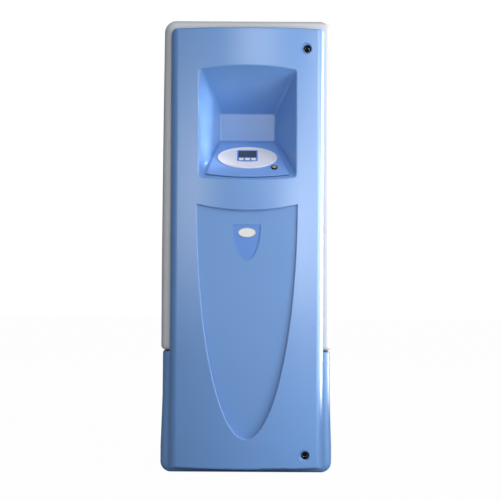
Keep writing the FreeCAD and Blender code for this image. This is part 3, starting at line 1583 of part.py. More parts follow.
def tubeRun(points, bend):
    radius = float(bend)
    edges = []
    start = points[0]
    for before, corner, after in zip(points, points[1:], points[2:]):
        arriving = (corner - before).normalize()
        leaving = (after - corner).normalize()
        turn = math.acos(max(-1, min(1, arriving.dot(leaving))))
        reach = radius * math.tan(turn / 2)
        first = corner - arriving * reach
        last = corner + leaving * reach
        inward = (leaving - arriving).normalize()
        centre = corner + inward * (radius / math.cos(turn / 2))
        edges.append(line(start, first))
        edges.append(arc(first, centre - inward * radius, last))
        start = last
    edges.append(line(start, points[-1]))
    direction = (points[1] - points[0]).normalize()
    profile = Part.Wire(Part.makeCircle(float(s.tubeRadius), points[0], direction))
    return Part.Wire(edges).makePipeShell([profile], True, False)


def rearTubes():
    # Each rear port's tube climbs behind the tank and crosses over it to the manifold.
    runs = []
    tail = s.rearPlane - s.shellWall - s.portFlangeThick - s.portTail
    climb = tail - s.tubeBend - s.tubeRadius
    for across in tubePlaces():
        runs.append(tubeRun([
            point(across, tail, s.portHeight),
            point(across, climb, s.portHeight),
            point(across, climb, crossoverHeight()),
            point(across, s.plateFront, crossoverHeight()),
        ], s.tubeBend))
    return runs


def sideStep(low, high):
    # A tube that leaves upwards, steps aside in its middle third and goes on upwards.
    third = (high.z - low.z) / 3
    return tubeRun([
        low,
        Vector(low.x, low.y, low.z + third),
        Vector(high.x, high.y, high.z - third),
        high,
    ], s.tubeTightBend)


def straightTube(across, depth, low, high):
    return Part.makeCylinder(float(s.tubeRadius), float(high) - float(low), point(across, depth, low))


def frontTubes():
    pumpTop = s.pumpHeight + s.pumpHeadRadius + s.pumpPortHeight
    pumpMiddle = s.motorEnd - s.motorLength - s.pumpHeadLength / 2
    capLow = s.membraneLow - s.membraneCapHeight
    capHigh = s.membraneHigh + s.membraneCapHeight
    runs = []
    for side, across in zip(sides(), membranePlaces()):
        start = point(pumpMiddle * side, s.pumpDepth, pumpTop)
        runs.append(sideStep(start, point(across, s.membraneDepth, capLow)))
        runs.append(straightTube(across, s.membraneDepth, capHigh, s.manifoldLow))
    headTop = s.prefilterTop + s.prefilterHeadHeight
    runs.append(straightTube(s.packLeft, s.packDepth, headTop, s.packLeftLow))
    runs.append(straightTube(s.packLeft, s.packDepth, s.packLeftTop + s.packHeadHeight, s.manifoldLow))
    runs.append(sideStep(
        point(s.packRight, s.packDepth, s.packRightTop + s.packHeadHeight),
        point(s.regulatorAcross, s.regulatorDepth, s.regulatorLow),
    ))
    runs.append(straightTube(s.uvFeedAcross, s.uvDepth, s.manifoldHigh, s.uvHeight - s.uvRadius))
    runs.append(straightTube(
        s.filterAcross, s.filterDepth, s.manifoldHigh, s.filterLow - s.filterNeckHeight
    ))
    outlet = s.uvRight + s.uvCapLength
    neck = s.filterHigh + s.filterNeckHeight
    crown = neck + s.uvOutletRise
    runs.append(tubeRun([
        point(outlet, s.uvDepth, s.uvHeight),
        point(outlet + s.uvOutletReach, s.uvDepth, s.uvHeight),
        point(outlet + s.uvOutletReach, s.uvDepth, crown),
        point(s.filterAcross, s.filterDepth, crown),
        point(s.filterAcross, s.filterDepth, neck),
    ], s.tubeTightBend))
    return runs


def makeWaterTubes():
    return feature("water_tubes", Part.makeCompound(rearTubes() + frontTubes()))


def build():
    subPart("upper_cover", makeUpperCover())
    subPart("base_housing", makeBaseHousing())
    subPart("rear_panel", makeRearPanel())
    subPart("joint_gasket", makeJointGasket())
    subPart("door_seal", makeDoorSeal())
    panel, tub, rails, corners = makeDoorPanel()
    subPart("door_panel", panel)
    subPart("niche_tub", tub)
    subPart("door_rails", rails)
    subPart("lock_corners", corners)
    subPart("control_console", makeControlConsole())
    subPart("control_bezel", makeControlBezel())
    subPart("display_frame", makeDisplayFrame())
    subPart("display_window", makeDisplayWindow())
    for name, across in keyPlaces().items():
        subPart(name, makeKey(name, across))
    subPart("control_board", makeControlBoard())
    subPart("key_switch_bezel", makeKeySwitchBezel())
    subPart("key_switch_barrel", makeKeySwitchBarrel())
    panel, plate = makeBadge()
    subPart("badge_panel", panel)
    subPart("badge_plate", plate)
    for prefix, height in (("upper", s.upperLockHeight), ("lower", s.lowerLockHeight)):
        subPart(f"{prefix}_lock_barrel", makeLock(prefix, height))
    subPart("hinge_brackets", makeHingeBrackets())
    subPart("hinge_pins", makeHingePins())
    subPart("base_deck", makeBaseDeck())
    subPart("frame_posts", makeFramePosts())
    subPart("frame_rails", makeFrameRails())
    subPart("component_plate", makeComponentPlate())
    studs, pads = makeFeet()
    subPart("levelling_feet", studs)
    subPart("foot_pads", pads)
    subPart("reservoir_tank", makeTank())
    subPart("tank_lid", makeTankLid())
    subPart("vent_filter", makeVentFilter())
    subPart("level_sensor", makeLevelSensor())
    head, bowl = makePrefilter()
    subPart("prefilter_head", head)
    subPart("prefilter_bowl", bowl)
    barrels, caps = makeMembranes()
    subPart("membrane_tubes", barrels)
    subPart("membrane_caps", caps)
    subPart("pipe_clips", makePipeClips())
    packs_, heads = makePacks()
    subPart("purification_packs", packs_)
    subPart("pack_heads", heads)
    chamber, final = makeUv()
    subPart("uv_chamber", chamber)
    subPart("final_filter", final)
    motors, pumpHeads = makePumps()
    subPart("pump_motors", motors)
    subPart("pump_heads", pumpHeads)
    manifoldBody, valves = makeManifold()
    subPart("manifold_block", manifoldBody)
    subPart("solenoid_valves", valves)
    regulator, knob, gauge = makeRegulator()
    subPart("regulator_body", regulator)
    subPart("regulator_knob", knob)
    subPart("pressure_gauge", gauge)
    tray, lid = makeElectronics()
    subPart("electronics_box", tray)
    subPart("electronics_cover", lid)
    for name, (across, radius) in zip(("feed_port", "drain_port", "return_port", "product_port"), rearPorts()):
        subPart(name, makePort(name, across, radius))
    subPart("power_inlet", makePowerInlet())
    subPart("power_rocker", makeRocker())
    subPart("water_tubes", makeWaterTubes())


def check():
    failed = [item.Label for item in doc.Objects if "Invalid" in item.State or "Error" in item.State]
    for item in subParts:
        if item.Shape.isNull() or not item.Shape.isValid() or not item.Shape.Solids:
            failed.append(item.Label)
    if failed:
        raise RuntimeError(f"Not built: {sorted(set(failed))}")


build()
doc.recompute()
check()
for item in subParts:
    item.Shape.exportStep(f"parts/{item.Label}.step")
    print(item.Label, len(item.Shape.Solids), round(item.Shape.Volume / 1000, 1))
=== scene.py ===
import json
import math
import bmesh
import bpy
from mathutils import Matrix, Vector


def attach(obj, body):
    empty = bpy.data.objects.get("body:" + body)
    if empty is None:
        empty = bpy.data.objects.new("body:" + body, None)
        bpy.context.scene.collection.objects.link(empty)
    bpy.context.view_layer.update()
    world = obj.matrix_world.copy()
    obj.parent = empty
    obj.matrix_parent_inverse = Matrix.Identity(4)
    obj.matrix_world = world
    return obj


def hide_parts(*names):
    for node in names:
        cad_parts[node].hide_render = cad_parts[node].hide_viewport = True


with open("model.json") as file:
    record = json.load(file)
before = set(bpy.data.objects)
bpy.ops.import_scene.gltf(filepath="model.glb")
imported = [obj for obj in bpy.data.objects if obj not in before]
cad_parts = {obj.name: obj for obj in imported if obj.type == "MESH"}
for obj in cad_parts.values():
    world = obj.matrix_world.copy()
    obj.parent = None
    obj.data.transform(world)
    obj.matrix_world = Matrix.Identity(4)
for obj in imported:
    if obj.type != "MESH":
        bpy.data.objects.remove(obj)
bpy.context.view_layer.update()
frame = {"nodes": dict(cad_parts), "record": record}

print("frame loaded", len(frame["nodes"]), "nodes")


# small helpers for shader nodes: an input takes a value or the output of another node

def setInputs(node, values):
    for name, value in values.items():
        if isinstance(value, bpy.types.NodeSocket):
            node.id_data.links.new(value, node.inputs[name])
        else:
            node.inputs[name].default_value = value


def addNode(tree, kind, **values):
    node = tree.nodes.new("ShaderNode" + kind)
    setInputs(node, values)
    return node


def makeMaterial(name, finish, look):
    material = bpy.data.materials.new(name)
    material.use_nodes = True
    tree = material.node_tree
    setInputs(tree.nodes["Principled BSDF"], finish(tree, look))
    return material


def noise(tree, scale, detail=3.0, stretch=(1, 1, 1)):
    place = addNode(tree, "TexCoord").outputs["Object"]
    mapping = addNode(tree, "Mapping", Vector=place, Scale=stretch).outputs["Vector"]
    return addNode(tree, "TexNoise", Vector=mapping, Scale=scale, Detail=detail).outputs["Fac"]


# noise stays mostly between these two values, so tones and roughness are spread over that range
noiseRange = (0.3, 0.7)


def remap(tree, source, low, high):
    ends = {"From Min": noiseRange[0], "From Max": noiseRange[1], "To Min": low, "To Max": high}
    return addNode(tree, "MapRange", Value=source, **ends).outputs["Result"]


def colourBetween(tree, source, dark, bright):
    ramp = addNode(tree, "ValToRGB", Fac=source)
    for element, position, colour in zip(ramp.color_ramp.elements, noiseRange, (dark, bright)):
        element.position = position
        element.color = (*colour, 1)
    return ramp.outputs["Color"]


def toneAround(tree, source, colour, *shares):
    dark, bright = ([min(1.0, value * share) for value in colour] for share in shares)
    return colourBetween(tree, source, dark, bright)


def bumpOf(tree, source, distance, strength):
    return addNode(tree, "Bump", Height=source, Distance=distance, Strength=strength).outputs["Normal"]


# finishes: each gives the inputs of the material's shader

def mouldedPlastic(tree, look):
    mottle = noise(tree, look["mottle"], 2.0)
    grain = noise(tree, look["grain"], 4.0)
    return {
        "Base Color": toneAround(tree, mottle, look["colour"], 1 - look["vary"], 1 + look["vary"]),
        "Roughness": remap(tree, grain, look["rough"] - 0.04, look["rough"] + 0.05),
        "Specular IOR Level": look["specular"], "Coat Weight": look["coat"], "Coat Roughness": look["coatRough"],
        "Subsurface Weight": look["glow"], "Sheen Weight": look["haze"], "Sheen Roughness": 0.4,
        "Normal": bumpOf(tree, grain, look["depth"], look["bump"]),
    }


def brushedMetal(tree, look):
    lines = noise(tree, look["grain"], 3.0, look["stretch"])
    return {
        "Base Color": toneAround(tree, noise(tree, look["mottle"], 2.0), look["colour"], 0.9, 1.08),
        "Roughness": remap(tree, lines, look["rough"] - 0.08, look["rough"] + 0.1),
        "Metallic": look["metal"], "Normal": bumpOf(tree, lines, look["depth"], 0.2),
    }


def zincSpangle(tree, look):
    place = addNode(tree, "TexCoord").outputs["Object"]
    cells = addNode(tree, "TexVoronoi", Vector=place, Scale=look["spangle"]).outputs["Color"]
    split = addNode(tree, "SeparateColor", Color=cells).outputs
    tone = toneAround(tree, split["Red"], look["colour"], 0.86, 1.1)
    return {"Base Color": tone, "Roughness": remap(tree, split["Green"], 0.3, 0.48), "Metallic": 0.9}


def softRubber(tree, look):
    grain = noise(tree, look["grain"], 5.0)
    tone = toneAround(tree, grain, look["colour"], 0.75, 1.3)
    return {"Base Color": tone, "Roughness": 0.75, "Normal": bumpOf(tree, grain, 0.0004, 0.35)}


def displayGlass(tree, look):
    tone = colourBetween(tree, noise(tree, look["mottle"], 2.0), look["dark"], look["bright"])
    return {"Base Color": tone, "Roughness": 0.12, "Coat Weight": 1.0, "Coat Roughness": 0.03}


# looks: colours are linear, vary is how far they stray, grain and mottle say how fine a pattern is,
# depth is the grain's height in metres, and a dictionary at the end says what differs from the plain look

plainPlastic = dict(bump=0.25, specular=0.5, coat=0.0, coatRough=0.12, glow=0.0, haze=0.0)
shellPlastic = dict(bump=0.1, specular=0.8, coatRough=0.3)
plasticColumns = ("colour", "vary", "rough", "grain", "mottle", "depth")
plasticLooks = {
    "coverGrey": ((0.655, 0.675, 0.714), 0.015, 0.4, 900, 3, 0.0002, dict(bump=0.1, specular=0.6)),
    # sealNavy colours the dark cord along the console's front edge, and there its dark is painted shadow.
    "sealNavy": ((0.022, 0.055, 0.19), 0.05, 0.5, 600, 5, 0.0001),
    "doorBlue": ((0.13, 0.31, 0.682), 0.02, 0.36, 900, 3, 0.0002, dict(shellPlastic, haze=0.25, coat=1.0)),
    "baseBlue": ((0.147, 0.327, 0.665), 0.02, 0.38, 900, 3, 0.0002, dict(shellPlastic, coat=0.3)),
    "consoleBlue": ((0.194, 0.37, 0.792), 0.02, 0.38, 1200, 8, 0.00015, dict(specular=0.6)),
    "bezelLilac": ((0.8, 0.81, 0.88), 0.01, 0.34, 1500, 10, 0.0001),
    "displayBlue": ((0.1, 0.24, 0.66), 0.02, 0.35, 1500, 10, 0.0001),
    "keyWhite": ((0.85, 0.86, 0.9), 0.01, 0.35, 1500, 20, 0.0001),
    # switchBlack is the own black of the switch ring and lock barrels, and also paints shade in the lock recesses and
    # the key slot.
    "switchBlack": ((0.01, 0.01, 0.014), 0.1, 0.6, 1500, 20, 0.0001, dict(specular=0.2)),
    "badgeBlue": ((0.13, 0.29, 0.72), 0.02, 0.33, 1400, 12, 0.0001),
    "badgeWhite": ((0.82, 0.82, 0.83), 0.01, 0.3, 1400, 12, 0.0001),
    "tankWhite": ((0.74, 0.76, 0.78), 0.03, 0.45, 400, 6, 0.0005, dict(glow=0.1)),
    "ventWhite": ((0.8, 0.8, 0.8), 0.02, 0.4, 900, 10, 0.0002),
    "bowlBlue": ((0.015, 0.07, 0.33), 0.05, 0.22, 500, 8, 0.0002, dict(coat=0.4)),
    "headBlack": ((0.02, 0.02, 0.024), 0.1, 0.45, 900, 10, 0.0003),
    "membraneWhite": ((0.78, 0.79, 0.8), 0.02, 0.3, 500, 8, 0.0002, dict(coat=0.3)),
    "packWhite": ((0.72, 0.76, 0.84), 0.02, 0.36, 700, 8, 0.0002),
    "clipGrey": ((0.1, 0.105, 0.12), 0.06, 0.5, 900, 14, 0.0002),
    "manifoldWhite": ((0.68, 0.7, 0.72), 0.02, 0.42, 900, 10, 0.0002),
    # valveBlack is the valves' own black, and also paints shade in the louvre slots of the electronics cover and the
    # rear panel.
    "valveBlack": ((0.015, 0.015, 0.018), 0.1, 0.4, 900, 14, 0.0002),
    "knobBlue": ((0.02, 0.06, 0.26), 0.05, 0.45, 900, 14, 0.0002),
    "portWhite": ((0.7, 0.72, 0.74), 0.02, 0.4, 900, 14, 0.0002),
    "inletBlack": ((0.014, 0.014, 0.017), 0.1, 0.45, 1200, 14, 0.0002),
    "rockerGreen": ((0.02, 0.28, 0.09), 0.05, 0.3, 1200, 14, 0.0001),
    "tubeWhite": ((0.76, 0.79, 0.84), 0.02, 0.35, 900, 14, 0.0002, dict(glow=0.1)),
    "boardGreen": ((0.012, 0.1, 0.04), 0.2, 0.35, 300, 60, 0.0002, dict(coat=0.5)),
    "frameGrey": ((0.42, 0.43, 0.46), 0.03, 0.5, 700, 6, 0.0004),
    "panelGrey": ((0.56, 0.57, 0.6), 0.02, 0.5, 700, 4, 0.0004),
    "boxGrey": ((0.3, 0.32, 0.36), 0.03, 0.48, 700, 6, 0.0004),
    "motorGrey": ((0.07, 0.085, 0.11), 0.06, 0.45, 500, 10, 0.0005),
    "gaugeBlack": ((0.015, 0.015, 0.018), 0.1, 0.3, 900, 14, 0.0002),
}
plainMetal = dict(stretch=(1, 1, 1), metal=1.0)
metalColumns = ("colour", "rough", "grain", "mottle", "depth")
metalLooks = {
    "lockMetal": ((0.55, 0.56, 0.58), 0.22, 400, 30, 0.0001),
    "switchBrass": ((0.8, 0.66, 0.42), 0.34, 500, 40, 0.0001, dict(metal=0.55)),
    "camSteel": ((0.5, 0.5, 0.52), 0.35, 300, 20, 0.0002, dict(stretch=(1, 1, 8))),
    "stainless": ((0.58, 0.58, 0.59), 0.26, 250, 8, 0.0002, dict(stretch=(12, 1, 1))),
    "pumpBrass": ((0.56, 0.4, 0.18), 0.36, 250, 14, 0.0003),
}
zincLook = dict(colour=(0.52, 0.53, 0.55), spangle=90)
rubberLook = dict(colour=(0.014, 0.014, 0.016), grain=600)
glassLook = dict(dark=(0.048, 0.053, 0.082), bright=(0.06, 0.066, 0.098), mottle=40)


def slotName(name):
    return "".join("_" + letter.lower() if letter.isupper() else letter for letter in name)


def makeFinishes():
    made = {
        "steel_zinc": makeMaterial("zincPlate", zincSpangle, zincLook),
        "rubber_black": makeMaterial("blackRubber", softRubber, rubberLook),
        "display_dark": makeMaterial("displayGlass", displayGlass, glassLook),
    }
    plastics = (mouldedPlastic, plainPlastic, plasticColumns, plasticLooks)
    metals = (brushedMetal, plainMetal, metalColumns, metalLooks)
    for finish, plain, columns, looks in (plastics, metals):
        for name, row in looks.items():
            look = dict(plain, **dict(zip(columns, row)))
            for different in row[len(columns):]:
                look.update(different)
            made[slotName(name)] = makeMaterial(name, finish, look)
    return made


def dressNodes(made):
    slots = {part["node"]: part["material_slot"] for part in frame["record"]["subparts"]}
    for name, obj in frame["nodes"].items():
        material = made[slots[name]]
        if not obj.material_slots:
            obj.data.materials.append(material)
        for slot in obj.material_slots:
            slot.material = material


finishes = makeFinishes()
dressNodes(finishes)
print("finishes", len(finishes))


# outlines: lists of (radius, level) points that lathe spins round the Z axis

def fromEdge(radius, level, *steps):
    # Points given as steps outwards and upwards from one edge, in millimetres.
    return [(radius + out / 1000, level + up / 1000) for out, up in steps]


def mirrored(steps):
    # The same steps for the other end of a body.
    return [(out, -up) for out, up in reversed(steps)]


def capped(points):
    # Adds the two points on the axis that close an outline at its ends.
    return [(0, points[0][1]), *points, (0, points[-1][1])]


def softened(profile, radius, steps=3):
    # Rounds each inner corner of an outline.
    points = [Vector(spot) for spot in profile]
    smooth = [points[0]]
    for before, corner, after in zip(points, points[1:], points[2:]):
        back = before - corner
        ahead = after - corner
        reach = min(radius, back.length / 2.01, ahead.length / 2.01)
        first = corner + back.normalized() * reach
        last = corner + ahead.normalized() * reach
        for n in range(steps + 1):
            share = n / steps
            smooth.append(first.lerp(corner, share).lerp(corner.lerp(last, share), share))
    smooth.append(points[-1])
    return smooth


def around(count, radius, start=0.0):
    angles = [start + 2 * math.pi * n / count for n in range(count)]
    return [(radius * math.cos(angle), radius * math.sin(angle)) for angle in angles]


def pick(source, names):
    # Several values of a dictionary at once.
    return [source[name] for name in names.split()]


# shapes: each maker gives a bmesh of its own, and addPart puts it into a piece

def lathe(profile, steps=48):
    mesh = bmesh.new()
    verts = [mesh.verts.new((spot[0], 0, spot[1])) for spot in profile]
    edges = [mesh.edges.new(pair) for pair in zip(verts, verts[1:])]
    whole = {"cent": (0, 0, 0), "axis": (0, 0, 1), "angle": 2 * math.pi}
    bmesh.ops.spin(mesh, geom=verts + edges, steps=steps, use_merge=True, **whole)
    bmesh.ops.remove_doubles(mesh, verts=mesh.verts, dist=1e-6)
    bmesh.ops.recalc_face_normals(mesh, faces=mesh.faces)
    return mesh


def turned(points, soft, steps=48, curve=3):
    return lathe(softened(capped(points), soft, curve), steps)


def pin(radius, low, high, soft, steps=24):
    return turned([(radius, low), (radius, high)], soft, steps)


def sleeve(radius, low, high, out, steps):
    # A thin printed or taped band that stands out from a tube.
    return lathe([(radius + out, low), (radius + out, high), (radius - 0.001, high)], steps)


def slab(low, high, bevel=0.0, segments=2):
    mesh = bmesh.new()
    size = Vector(high) - Vector(low)
    middle = Matrix.Translation((Vector(low) + Vector(high)) / 2)
    bmesh.ops.create_cube(mesh, size=1, matrix=middle @ Matrix.Diagonal((*size, 1)))
    if bevel:
        bevelEdges(mesh, bevel, segments)
    return mesh


def bevelEdges(mesh, bevel, segments=2):
    bmesh.ops.bevel(mesh, geom=mesh.edges, offset=bevel, affect="EDGES", segments=segments, profile=0.5, material=-1)


def hexagon(radius, height, bevel=0.0006):
    mesh = bmesh.new()
    bmesh.ops.create_cone(mesh, cap_ends=True, segments=6, radius1=radius, radius2=radius, depth=height)
    bmesh.ops.translate(mesh, vec=(0, 0, height / 2), verts=mesh.verts)
    bevelEdges(mesh, bevel)
    return mesh


def screw(radius):
    # A plain pan head.
    profile = [(0, 0), (radius, 0), (radius, radius * 0.35), (radius * 0.6, radius * 0.7), (0, radius * 0.75)]
    return lathe(softened(profile, radius * 0.25), 20)


def bearing(face):
    middle = face.calc_center_median()
    return math.atan2(middle.y, middle.x)


def ribbedCap(radius, height, ribs, depth):
    # A cap with grip ribs: the outline is spun, then every other strip of its side is pulled in.
    mesh = turned([(radius, 0), (radius, height * 0.78), (radius - 0.004, height)], 0.0022, ribs * 4)
    low = [face for face in mesh.faces if face.calc_center_median().z < height * 0.7]
    strips = [face for face in low if abs(face.normal.z) < 0.05 and bearing(face) * ribs * 2 / math.pi % 4 < 2]
    bmesh.ops.inset_individual(mesh, faces=strips, thickness=0.0003, depth=-depth)
    return mesh


def spun(angle, axis):
    return Matrix.Rotation(math.radians(angle), 4, axis)


turns = {
    "up": spun(0, "X"), "down": spun(180, "X"), "right": spun(90, "Y"), "left": spun(-90, "Y"),
    "front": spun(90, "X"), "rear": spun(-90, "X"),
}


def meshFrom(name, mesh):
    data = bpy.data.meshes.new(name)
    mesh.to_mesh(data)
    mesh.free()
    return data


def linked(name, data):
    obj = bpy.data.objects.new(name, data)
    bpy.context.scene.collection.objects.link(obj)
    return obj


def addPart(target, source, place=(0, 0, 0), turn="up", material=0):
    for face in source.faces:
        face.material_index = material
        face.smooth = True
    bmesh.ops.transform(source, matrix=Matrix.Translation(place) @ turns[turn], verts=source.verts)
    data = meshFrom("part", source)
    target.from_mesh(data)
    bpy.data.meshes.remove(data)


def addSlab(target, low, high, bevel=0.0, material=0, segments=2):
    addPart(target, slab(low, high, bevel, segments), material=material)


def addScrews(target, size, acrosses, levels, plane, turn="front"):
    for across in acrosses:
        for level in levels:
            addPart(target, screw(size), (across, plane, level), turn, 1)


def addRibs(target, count, radius, half, levels, bevel, place):
    for x, y in around(count, radius):
        addPart(target, slab((x - half, y - half, levels[0]), (x + half, y + half, levels[1]), bevel), place)


def makePiece(name, mesh, slots, body="cabinet", *nodes):
    # A piece stands for the CAD node of its own name, if there is one, or for the nodes that it names.
    nodes = nodes or [node for node in (slotName(name),) if node in frame["nodes"]]
    data = meshFrom(name, mesh)
    for slot in slots.split():
        data.materials.append(finishes[slot])
    data.set_sharp_from_angle(angle=math.radians(38))
    piece = linked(name, data)
    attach(piece, body)
    if nodes:
        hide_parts(*nodes)


# pumps: finned motors with end bells, and brass heads held by screws

pump = dict(
    depth=-0.17, height=0.15, near=0.105, far=0.245, radius=0.062,
    finRadius=0.067, finStart=0.018, finPitch=0.012, finCount=9, finThick=0.003,
    footLow=0.054, footThick=0.008, footHigh=0.119, footHalf=0.048, footInset=0.012,
    webThick=0.006, webInset=0.01, webFront=0.02, webRear=0.026, edge=0.0015,
    bolt=(0.006, 0.005), boltAcross=0.012, boltDepth=0.009,
    headLength=0.078, headRadius=0.05, screwHigh=0.004, portRadius=0.014, portTop=0.23,
)


def motorProfile():
    radius, fin, thick = pick(pump, "radius finRadius finThick")
    length = pump["far"] - pump["near"]
    profile = [(0, 0), (radius - 0.006, 0), (radius, 0.006)]
    for n in range(pump["finCount"]):
        start = pump["finStart"] + pump["finPitch"] * n
        profile += [(radius, start), (fin, start), (fin, start + thick), (radius, start + thick)]
    profile += fromEdge(radius, length, (0, -10), (-4, -3), (-12, 0), (-14, -2))
    profile += fromEdge(0, length, (34, -2), (32, 0), (18, 0), (16, -2), (0, -2))
    return softened(profile, 0.0008, 2)


def addMotor(motors, side, base, away):
    addPart(motors, lathe(motorProfile(), 72), base, away)
    inset, low, edge, web = pick(pump, "footInset footLow edge webInset")
    left, right = sorted((side * (pump["near"] + inset), side * (pump["far"] - inset)))
    front, rear = pump["depth"] - pump["footHalf"], pump["depth"] + pump["footHalf"]
    top = low + pump["footThick"]
    addSlab(motors, (left, front, low), (right, rear, top), edge)
    for start in (front + pump["webFront"], rear - pump["webRear"]):
        far = (right - web, start + pump["webThick"], pump["footHigh"])
        addSlab(motors, (left + web, start, low + 0.004), far, edge)
    for across in (left + pump["boltAcross"], right - pump["boltAcross"]):
        for depth in (front + pump["boltDepth"], rear - pump["boltDepth"]):
            addPart(motors, hexagon(*pump["bolt"]), (across, depth, top), "up", 1)


def addHead(heads, side, base, back):
    radius, length = pick(pump, "headRadius headLength")
    profile = [(radius, 0), (radius, 0.009), (radius - 0.008, 0.012)]
    profile += fromEdge(radius, length, (-10, -22), (-3, -19), (-3, -8), (-16, 0))
    profile += fromEdge(0, length, (16, 0), (14, -3))
    addPart(heads, turned(profile, 0.002, 64), base, back)
    rings = ((8, 0.006, 0.39, 0.0038, 0.009), (6, 0.009, 0.0, 0.0034, length - 0.01))
    for count, inset, start, size, out in rings:
        for up, along in around(count, radius - inset, start):
            place = (base[0] - side * out, base[1] + along, base[2] + up)
            addPart(heads, hexagon(size, pump["screwHigh"]), place, back, 1)
    across = side * (pump["near"] - length / 2)
    rise = pump["portTop"] - pump["height"]
    neck = [(0.02, 0.03), (0.018, 0.048), (0.0125, 0.052), (0.0125, rise - 0.018)]
    neck += fromEdge(pump["portRadius"], rise, (0, -16), (0, 0))
    addPart(heads, turned(neck, 0.001, 40), (across, base[1], base[2]))
    addPart(heads, hexagon(0.0165, 0.01, 0.001), (across, base[1], pump["portTop"] - 0.022))


def makePumps():
    motors, heads = bmesh.new(), bmesh.new()
    for side, away, back in ((1, "right", "left"), (-1, "left", "right")):
        base = (pump["near"] * side, pump["depth"], pump["height"])
        addMotor(motors, side, base, away)
        addHead(heads, side, base, back)
    makePiece("pumpMotors", motors, "motor_grey cam_steel")
    makePiece("pumpHeads", heads, "pump_brass cam_steel")


# cartridges: membranes, packs, the prefilter and the last filter, all in front of one plate

plateFront = -0.062
membrane = dict(
    places=((-0.062, -0.132), (0.05, -0.132)), low=0.32, high=0.98, radius=0.048,
    bead=((0, 55), (1.5, 57), (1.5, 62), (0, 64)), bands=(0.25, -0.27), bandHigh=0.012,
    capRadius=0.054, capHeight=0.034, capRibs=24, capGrip=0.0012,
)


def makeMembranes():
    tubes, caps = bmesh.new(), bmesh.new()
    low, high, radius, bead = pick(membrane, "low high radius bead")
    profile = [(radius, low), *fromEdge(radius, low, *bead), *fromEdge(radius, high, *mirrored(bead)), (radius, high)]
    for across, depth in membrane["places"]:
        addPart(tubes, turned(profile, 0.0008, 64, 2), (across, depth, 0))
        for level in (low + membrane["bands"][0], high + membrane["bands"][1]):
            band = sleeve(radius, level, level + membrane["bandHigh"], 0.0004, 64)
            addPart(tubes, band, (across, depth, 0), "up", 1)
        for level, turn in ((low, "down"), (high, "up")):
            cap = ribbedCap(*pick(membrane, "capRadius capHeight capRibs capGrip"))
            addPart(caps, cap, (across, depth, level), turn)
    makePiece("membraneTubes", tubes, "membrane_white door_blue")
    makePiece("membraneCaps", caps, "head_black")


pack = dict(
    places=((0.184, -0.138, 0.34, 0.88), (-0.19, -0.138, 0.72, 1.04)), radius=0.056, band=(0.075, 0.13),
    headRadius=0.06, headHeight=0.04, bracketHalf=0.03, nut=(0.009, 0.014, 0.001), screw=0.005,
)


def addPackHead(heads, across, depth, top):
    cap, rise, half = pick(pack, "headRadius headHeight bracketHalf")
    outline = [(cap, 0), (cap, rise * 0.5), (cap - 0.004, rise * 0.55), (cap - 0.004, rise - 0.004), (cap - 0.01, rise)]
    addPart(heads, turned(outline, 0.002, 72), (across, depth, top))
    addSlab(heads, (across - half, depth + 0.03, top), (across + half, plateFront, top + rise), 0.002)
    for side, away in ((-1, "left"), (1, "right")):
        addPart(heads, hexagon(*pack["nut"]), (across + side * (cap - 0.012), depth, top + rise * 0.75), away)
        addPart(heads, screw(pack["screw"]), (across + side * half * 0.6, depth - 0.03, top + rise), "up", 1)


def makePacks():
    bodies, heads = bmesh.new(), bmesh.new()
    radius = pack["radius"]
    foot = ((-10, 0), (-3, 8), (0, 20), (0, 45), (-3, 50), (-3, 56), (0, 61))
    shoulder = ((0, -75), (-3, -70), (-3, -64), (0, -59), (0, -12), (-6, 0))
    for across, depth, low, top in pack["places"]:
        profile = fromEdge(radius, low, *foot) + fromEdge(radius, top, *shoulder)
        addPart(bodies, turned(profile, 0.004, 72), (across, depth, 0))
        start, end = (low + step for step in pack["band"])
        addPart(bodies, sleeve(radius, start, end, 0.0003, 72), (across, depth, 0), "up", 1)
        addPackHead(heads, across, depth, top)
    makePiece("purificationPacks", bodies, "pack_white door_blue")
    makePiece("packHeads", heads, "head_black cam_steel")


prefilter = dict(
    across=-0.19, depth=-0.138, low=0.32, top=0.62, radius=0.058, dome=0.02,
    ribs=12, ribHalf=0.0018, ribSunk=0.0035, headRadius=0.064, headHeight=0.052,
    collar=(0.03, 30, 0.0014), bracketHalf=0.03, buttonAt=(0.028, -0.02, 0.0505),
)


def makePrefilter():
    across, depth, low, top, radius = pick(prefilter, "across depth low top radius")
    bowl = bmesh.new()
    profile = [(0.012, low), (0.02, low + 0.002), (radius - prefilter["dome"], low + 0.004)]
    profile += fromEdge(radius, low, (-6, 18), (-4, 30))
    profile += fromEdge(radius, top, (-2, -50), (0, -46), (0, 0))
    addPart(bowl, turned(profile, 0.006, 72), (across, depth, 0))
    ring, levels = radius - prefilter["ribSunk"], (low + 0.04, top - 0.05)
    addRibs(bowl, prefilter["ribs"], ring, prefilter["ribHalf"], levels, 0.0012, (across, depth, 0))
    makePiece("prefilterBowl", bowl, "bowl_blue")
    head = bmesh.new()
    cap, rise, half = pick(prefilter, "headRadius headHeight bracketHalf")
    addPart(head, ribbedCap(cap, *prefilter["collar"]), (across, depth, top))
    profile = [(cap - 0.008, 0.026), (cap - 0.008, rise - 0.006), (cap - 0.014, rise), (0, rise)]
    addPart(head, lathe(softened(profile, 0.003), 64), (across, depth, top))
    addSlab(head, (across - half, depth + 0.02, top), (across + half, plateFront, top + rise), 0.002)
    button = turned([(0.01, 0), (0.01, 0.004), (0.007, 0.006)], 0.001, 32)
    right, behind, up = prefilter["buttonAt"]
    addPart(head, button, (across + right, depth + behind, top + up), "up", 1)
    makePiece("prefilterHead", head, "head_black rocker_green")


lastFilter = dict(
    across=0.205, depth=-0.114, low=1.18, high=1.33, radius=0.034,
    ribs=16, ribHalf=0.0012, ribSunk=0.003, ribEnd=0.036, armHalf=0.015,
)


